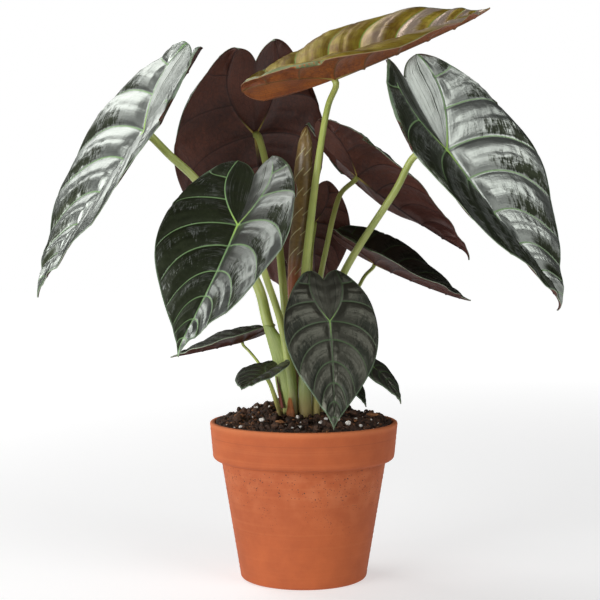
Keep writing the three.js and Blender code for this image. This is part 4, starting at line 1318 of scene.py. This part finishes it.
def chip(level, radii, roughness, draw, spin=None):
    """A stone with its own bumps; radii are its half sizes in mm."""
    corners, faces = BALLS[level]
    shifts = [(np.array([draw.uniform(-1, 1) for _ in range(3)]), draw.uniform(0, 6))
              for _ in range(7)]
    push = sum(np.sin(corners @ (axis * (2.2 + 1.3 * i)) + phase) / (1 + 0.5 * i)
               for i, (axis, phase) in enumerate(shifts))
    flats = np.zeros(len(corners))
    for _ in range(5):
        axis = np.array([draw.gauss(0, 1) for _ in range(3)])
        axis /= np.linalg.norm(axis)
        flats = np.maximum(flats, np.maximum(corners @ axis - 0.62, 0))
    body = corners * (1 + roughness * push - 0.75 * flats)[:, None] * np.asarray(radii)
    angles = spin or [draw.uniform(0, 6.3) for _ in range(3)]
    for axis, angle in enumerate(angles):
        c, s = math.cos(angle), math.sin(angle)
        i, j = [(1, 2), (0, 2), (0, 1)][axis]
        body[:, [i, j]] = body[:, [i, j]] @ np.array([[c, s], [-s, c]])
    return body, faces


# %% [markdown] ## The loose mix Chips of one kind make one piece, so that the heap stays a
# handful of pieces.

# %% Scatter the loose mix
def scatter(name, count, sizes, finish, level=2, thin=(0.45, 0.9), lift=0.25, draw_seed=1,
            reach=60.0, clear=0.0):
    draw = random.Random(draw_seed)
    points, faces, made = [], [], 0
    while made < count:
        x, y = draw.uniform(-reach, reach), draw.uniform(-reach, reach)
        size = draw.uniform(*sizes)
        far = math.hypot(x, y)
        if far + size > reach or math.hypot(x + 3, y + 4) < clear:
            continue
        radii = (size, size * draw.uniform(0.6, 0.95), size * draw.uniform(*thin))
        body, parts = chip(level, radii, 0.10, draw, (draw.gauss(0, 0.5), draw.gauss(0, 0.5),
                                                     draw.uniform(0, 6.3)))
        start = sum(len(p) for p in points)
        points.append(body + [x, y, soil_level(x, y) + lumps(x, y) + lift * size])
        faces += [[k + start for k in f] for f in parts]
        made += 1
    make_piece(name, np.concatenate(points) * MM, faces, [finish])


dark_chips = earth_finish("dark_bark", (0.014, 0.007, 0.004), (0.12, 0.052, 0.023))
brown_chips = earth_finish("brown_bark", (0.07, 0.025, 0.009), (0.36, 0.150, 0.052))
scatter("dark_crumbs", 2300, (0.45, 1.5), dark_chips, draw_seed=11)
scatter("dark_lumps", 130, (1.6, 3.6), dark_chips, level=3, draw_seed=12, clear=13,
        lift=0.45)
scatter("brown_crumbs", 900, (0.5, 1.7), brown_chips, draw_seed=13,
        thin=(0.2, 0.45))
print("loose mix scattered")


# %% [markdown]
# ## Perlite and bark
# Perlite is volcanic glass popped like corn: white, round, full of pits. Bark chips are flat,
# fibrous and rust brown. The large ones stand for their own nodes and lie where those are,
# lifted onto the lumps of the heap.

# %% Perlite and bark pieces
def perlite_finish():
    finish = Finish("popped_perlite")
    at = finish.place()
    pits = finish.cells(1100, at)
    cloud = finish.noise(500, at, detail=4)
    paint = (cloud * 0.7 + pits * 0.5).smooth(0.25, 0.8).mix((0.44, 0.40, 0.34),
                                                           (0.86, 0.84, 0.79))
    return finish.set(Base_Color=paint, Roughness=0.85,
                      Normal=finish.bump(pits * 0.7 + cloud * 0.3, 0.0006, 0.8))


def bark_finish():
    finish = Finish("bark_chip")
    fibre = finish.noise(300, finish.place((0.3, 1, 1)), detail=5)
    layers = finish.noise(900, detail=3)
    paint = (fibre * 0.8 + layers * 0.3).smooth(0.3, 0.8).mix((0.045, 0.016, 0.007),
                                                            (0.40, 0.17, 0.06))
    return finish.set(Base_Color=paint, Roughness=0.85, Normal=finish.bump(fibre, 0.0008, 0.9))


white_grain, bark_chip = perlite_finish(), bark_finish()
scatter("small_perlite", 60, (0.45, 1.2), white_grain, thin=(0.7, 1.0), lift=0.75,
        draw_seed=14)
PIECE_LEVEL = 4  # how finely the large grains and chips are cut
for kind, finish, count, swell, roughness in (("perlite", white_grain, 9, 1.02, 0.05),
                                              ("bark", bark_chip, 6, 1.1, 0.10)):
    for i in range(1, count + 1):
        low, high = (np.array(corner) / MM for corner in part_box(f"{kind}_{i}"))
        middle, half = (low + high) / 2, (high - low) / 2
        draw = random.Random(i * 7 + PIECE_LEVEL)
        body, parts = chip(PIECE_LEVEL, half * swell, roughness, draw, (0.0, 0.0, 0.0))
        middle = middle + [0, 0, lumps(middle[0], middle[1]) + 0.3]
        make_piece(f"{kind}_piece_{i}", (body + middle) * MM, parts, [finish],
                   f"{kind}_{i}")
print("perlite and bark pieces made")

# %% [markdown]
# ## The crown
# All stalks rise from one short stock, half sunk in the mix. It is brown, ringed with the scars
# of old leaves and mostly hidden by crumbs.

# %% Crown
def crown_mesh(rings=26, segments=64):
    low, high = (np.array(corner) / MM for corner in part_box("crown"))
    middle, half = (low + high) / 2, (high - low) / 2
    points = []
    for i in range(rings + 1):
        lat = math.pi * (i / rings - 0.5)
        for k in range(segments):
            angle = 2 * math.pi * k / segments
            scar = 1 + 0.035 * math.sin(26 * lat + math.sin(2 * angle)) \
                + 0.03 * math.sin(5 * angle)
            r = max(math.cos(lat), 0) ** 0.45 * scar
            points.append((middle[0] + half[0] * 0.97 * r * math.cos(angle),
                           middle[1] + half[1] * 0.97 * r * math.sin(angle),
                           middle[2] + half[2] * math.sin(lat) * 0.98 + 0.6))
    faces = ring_faces(rings + 1, segments)
    faces.append(list(range(segments))[::-1])
    faces.append([rings * segments + k for k in range(segments)])
    return np.array(points) * MM, faces


def crown_finish():
    finish = Finish("crown_bark")
    fibre = finish.noise(240, finish.place((1, 1, 0.4)), detail=5)
    paint = fibre.smooth(0.3, 0.75).mix((0.06, 0.028, 0.014), (0.24, 0.15, 0.06))
    return finish.set(Base_Color=paint, Roughness=0.8, Normal=finish.bump(fibre, 0.0008, 0.8))


points, faces = crown_mesh()
make_piece("leaf_crown", points, faces, [crown_finish()], "crown")
print("crown", len(faces), "faces")

# %% [markdown]
# ## The floor
# A wide pale floor, only there to take the soft shadow. It glows a little more with distance,
# so that it melts into the white behind it without a line at the horizon.

# %% Floor
floor_mesh = bpy.data.meshes.new("floor")
floor_mesh.from_pydata([(-6, -6, 0), (6, -6, 0), (6, 6, 0), (-6, 6, 0)], [], [(0, 1, 2, 3)])
floor = bpy.data.objects.new("floor", floor_mesh)
bpy.context.scene.collection.objects.link(floor)
paper = Finish("pale_paper")
far_away = paper.node("ShaderNodeVectorMath", {"operation": "LENGTH"}, paper.place(),
                      out="Value")
glow_color = far_away.smooth(0.2, 2.2).mix((0.50, 0.50, 0.50), (0.97, 0.97, 0.97))
paper.set(Base_Color=(0.55, 0.55, 0.55), Roughness=0.9, Emission_Color=glow_color,
          Emission_Strength=1.0)
floor_mesh.materials.append(paper.material)
print("floor", floor.dimensions[:])
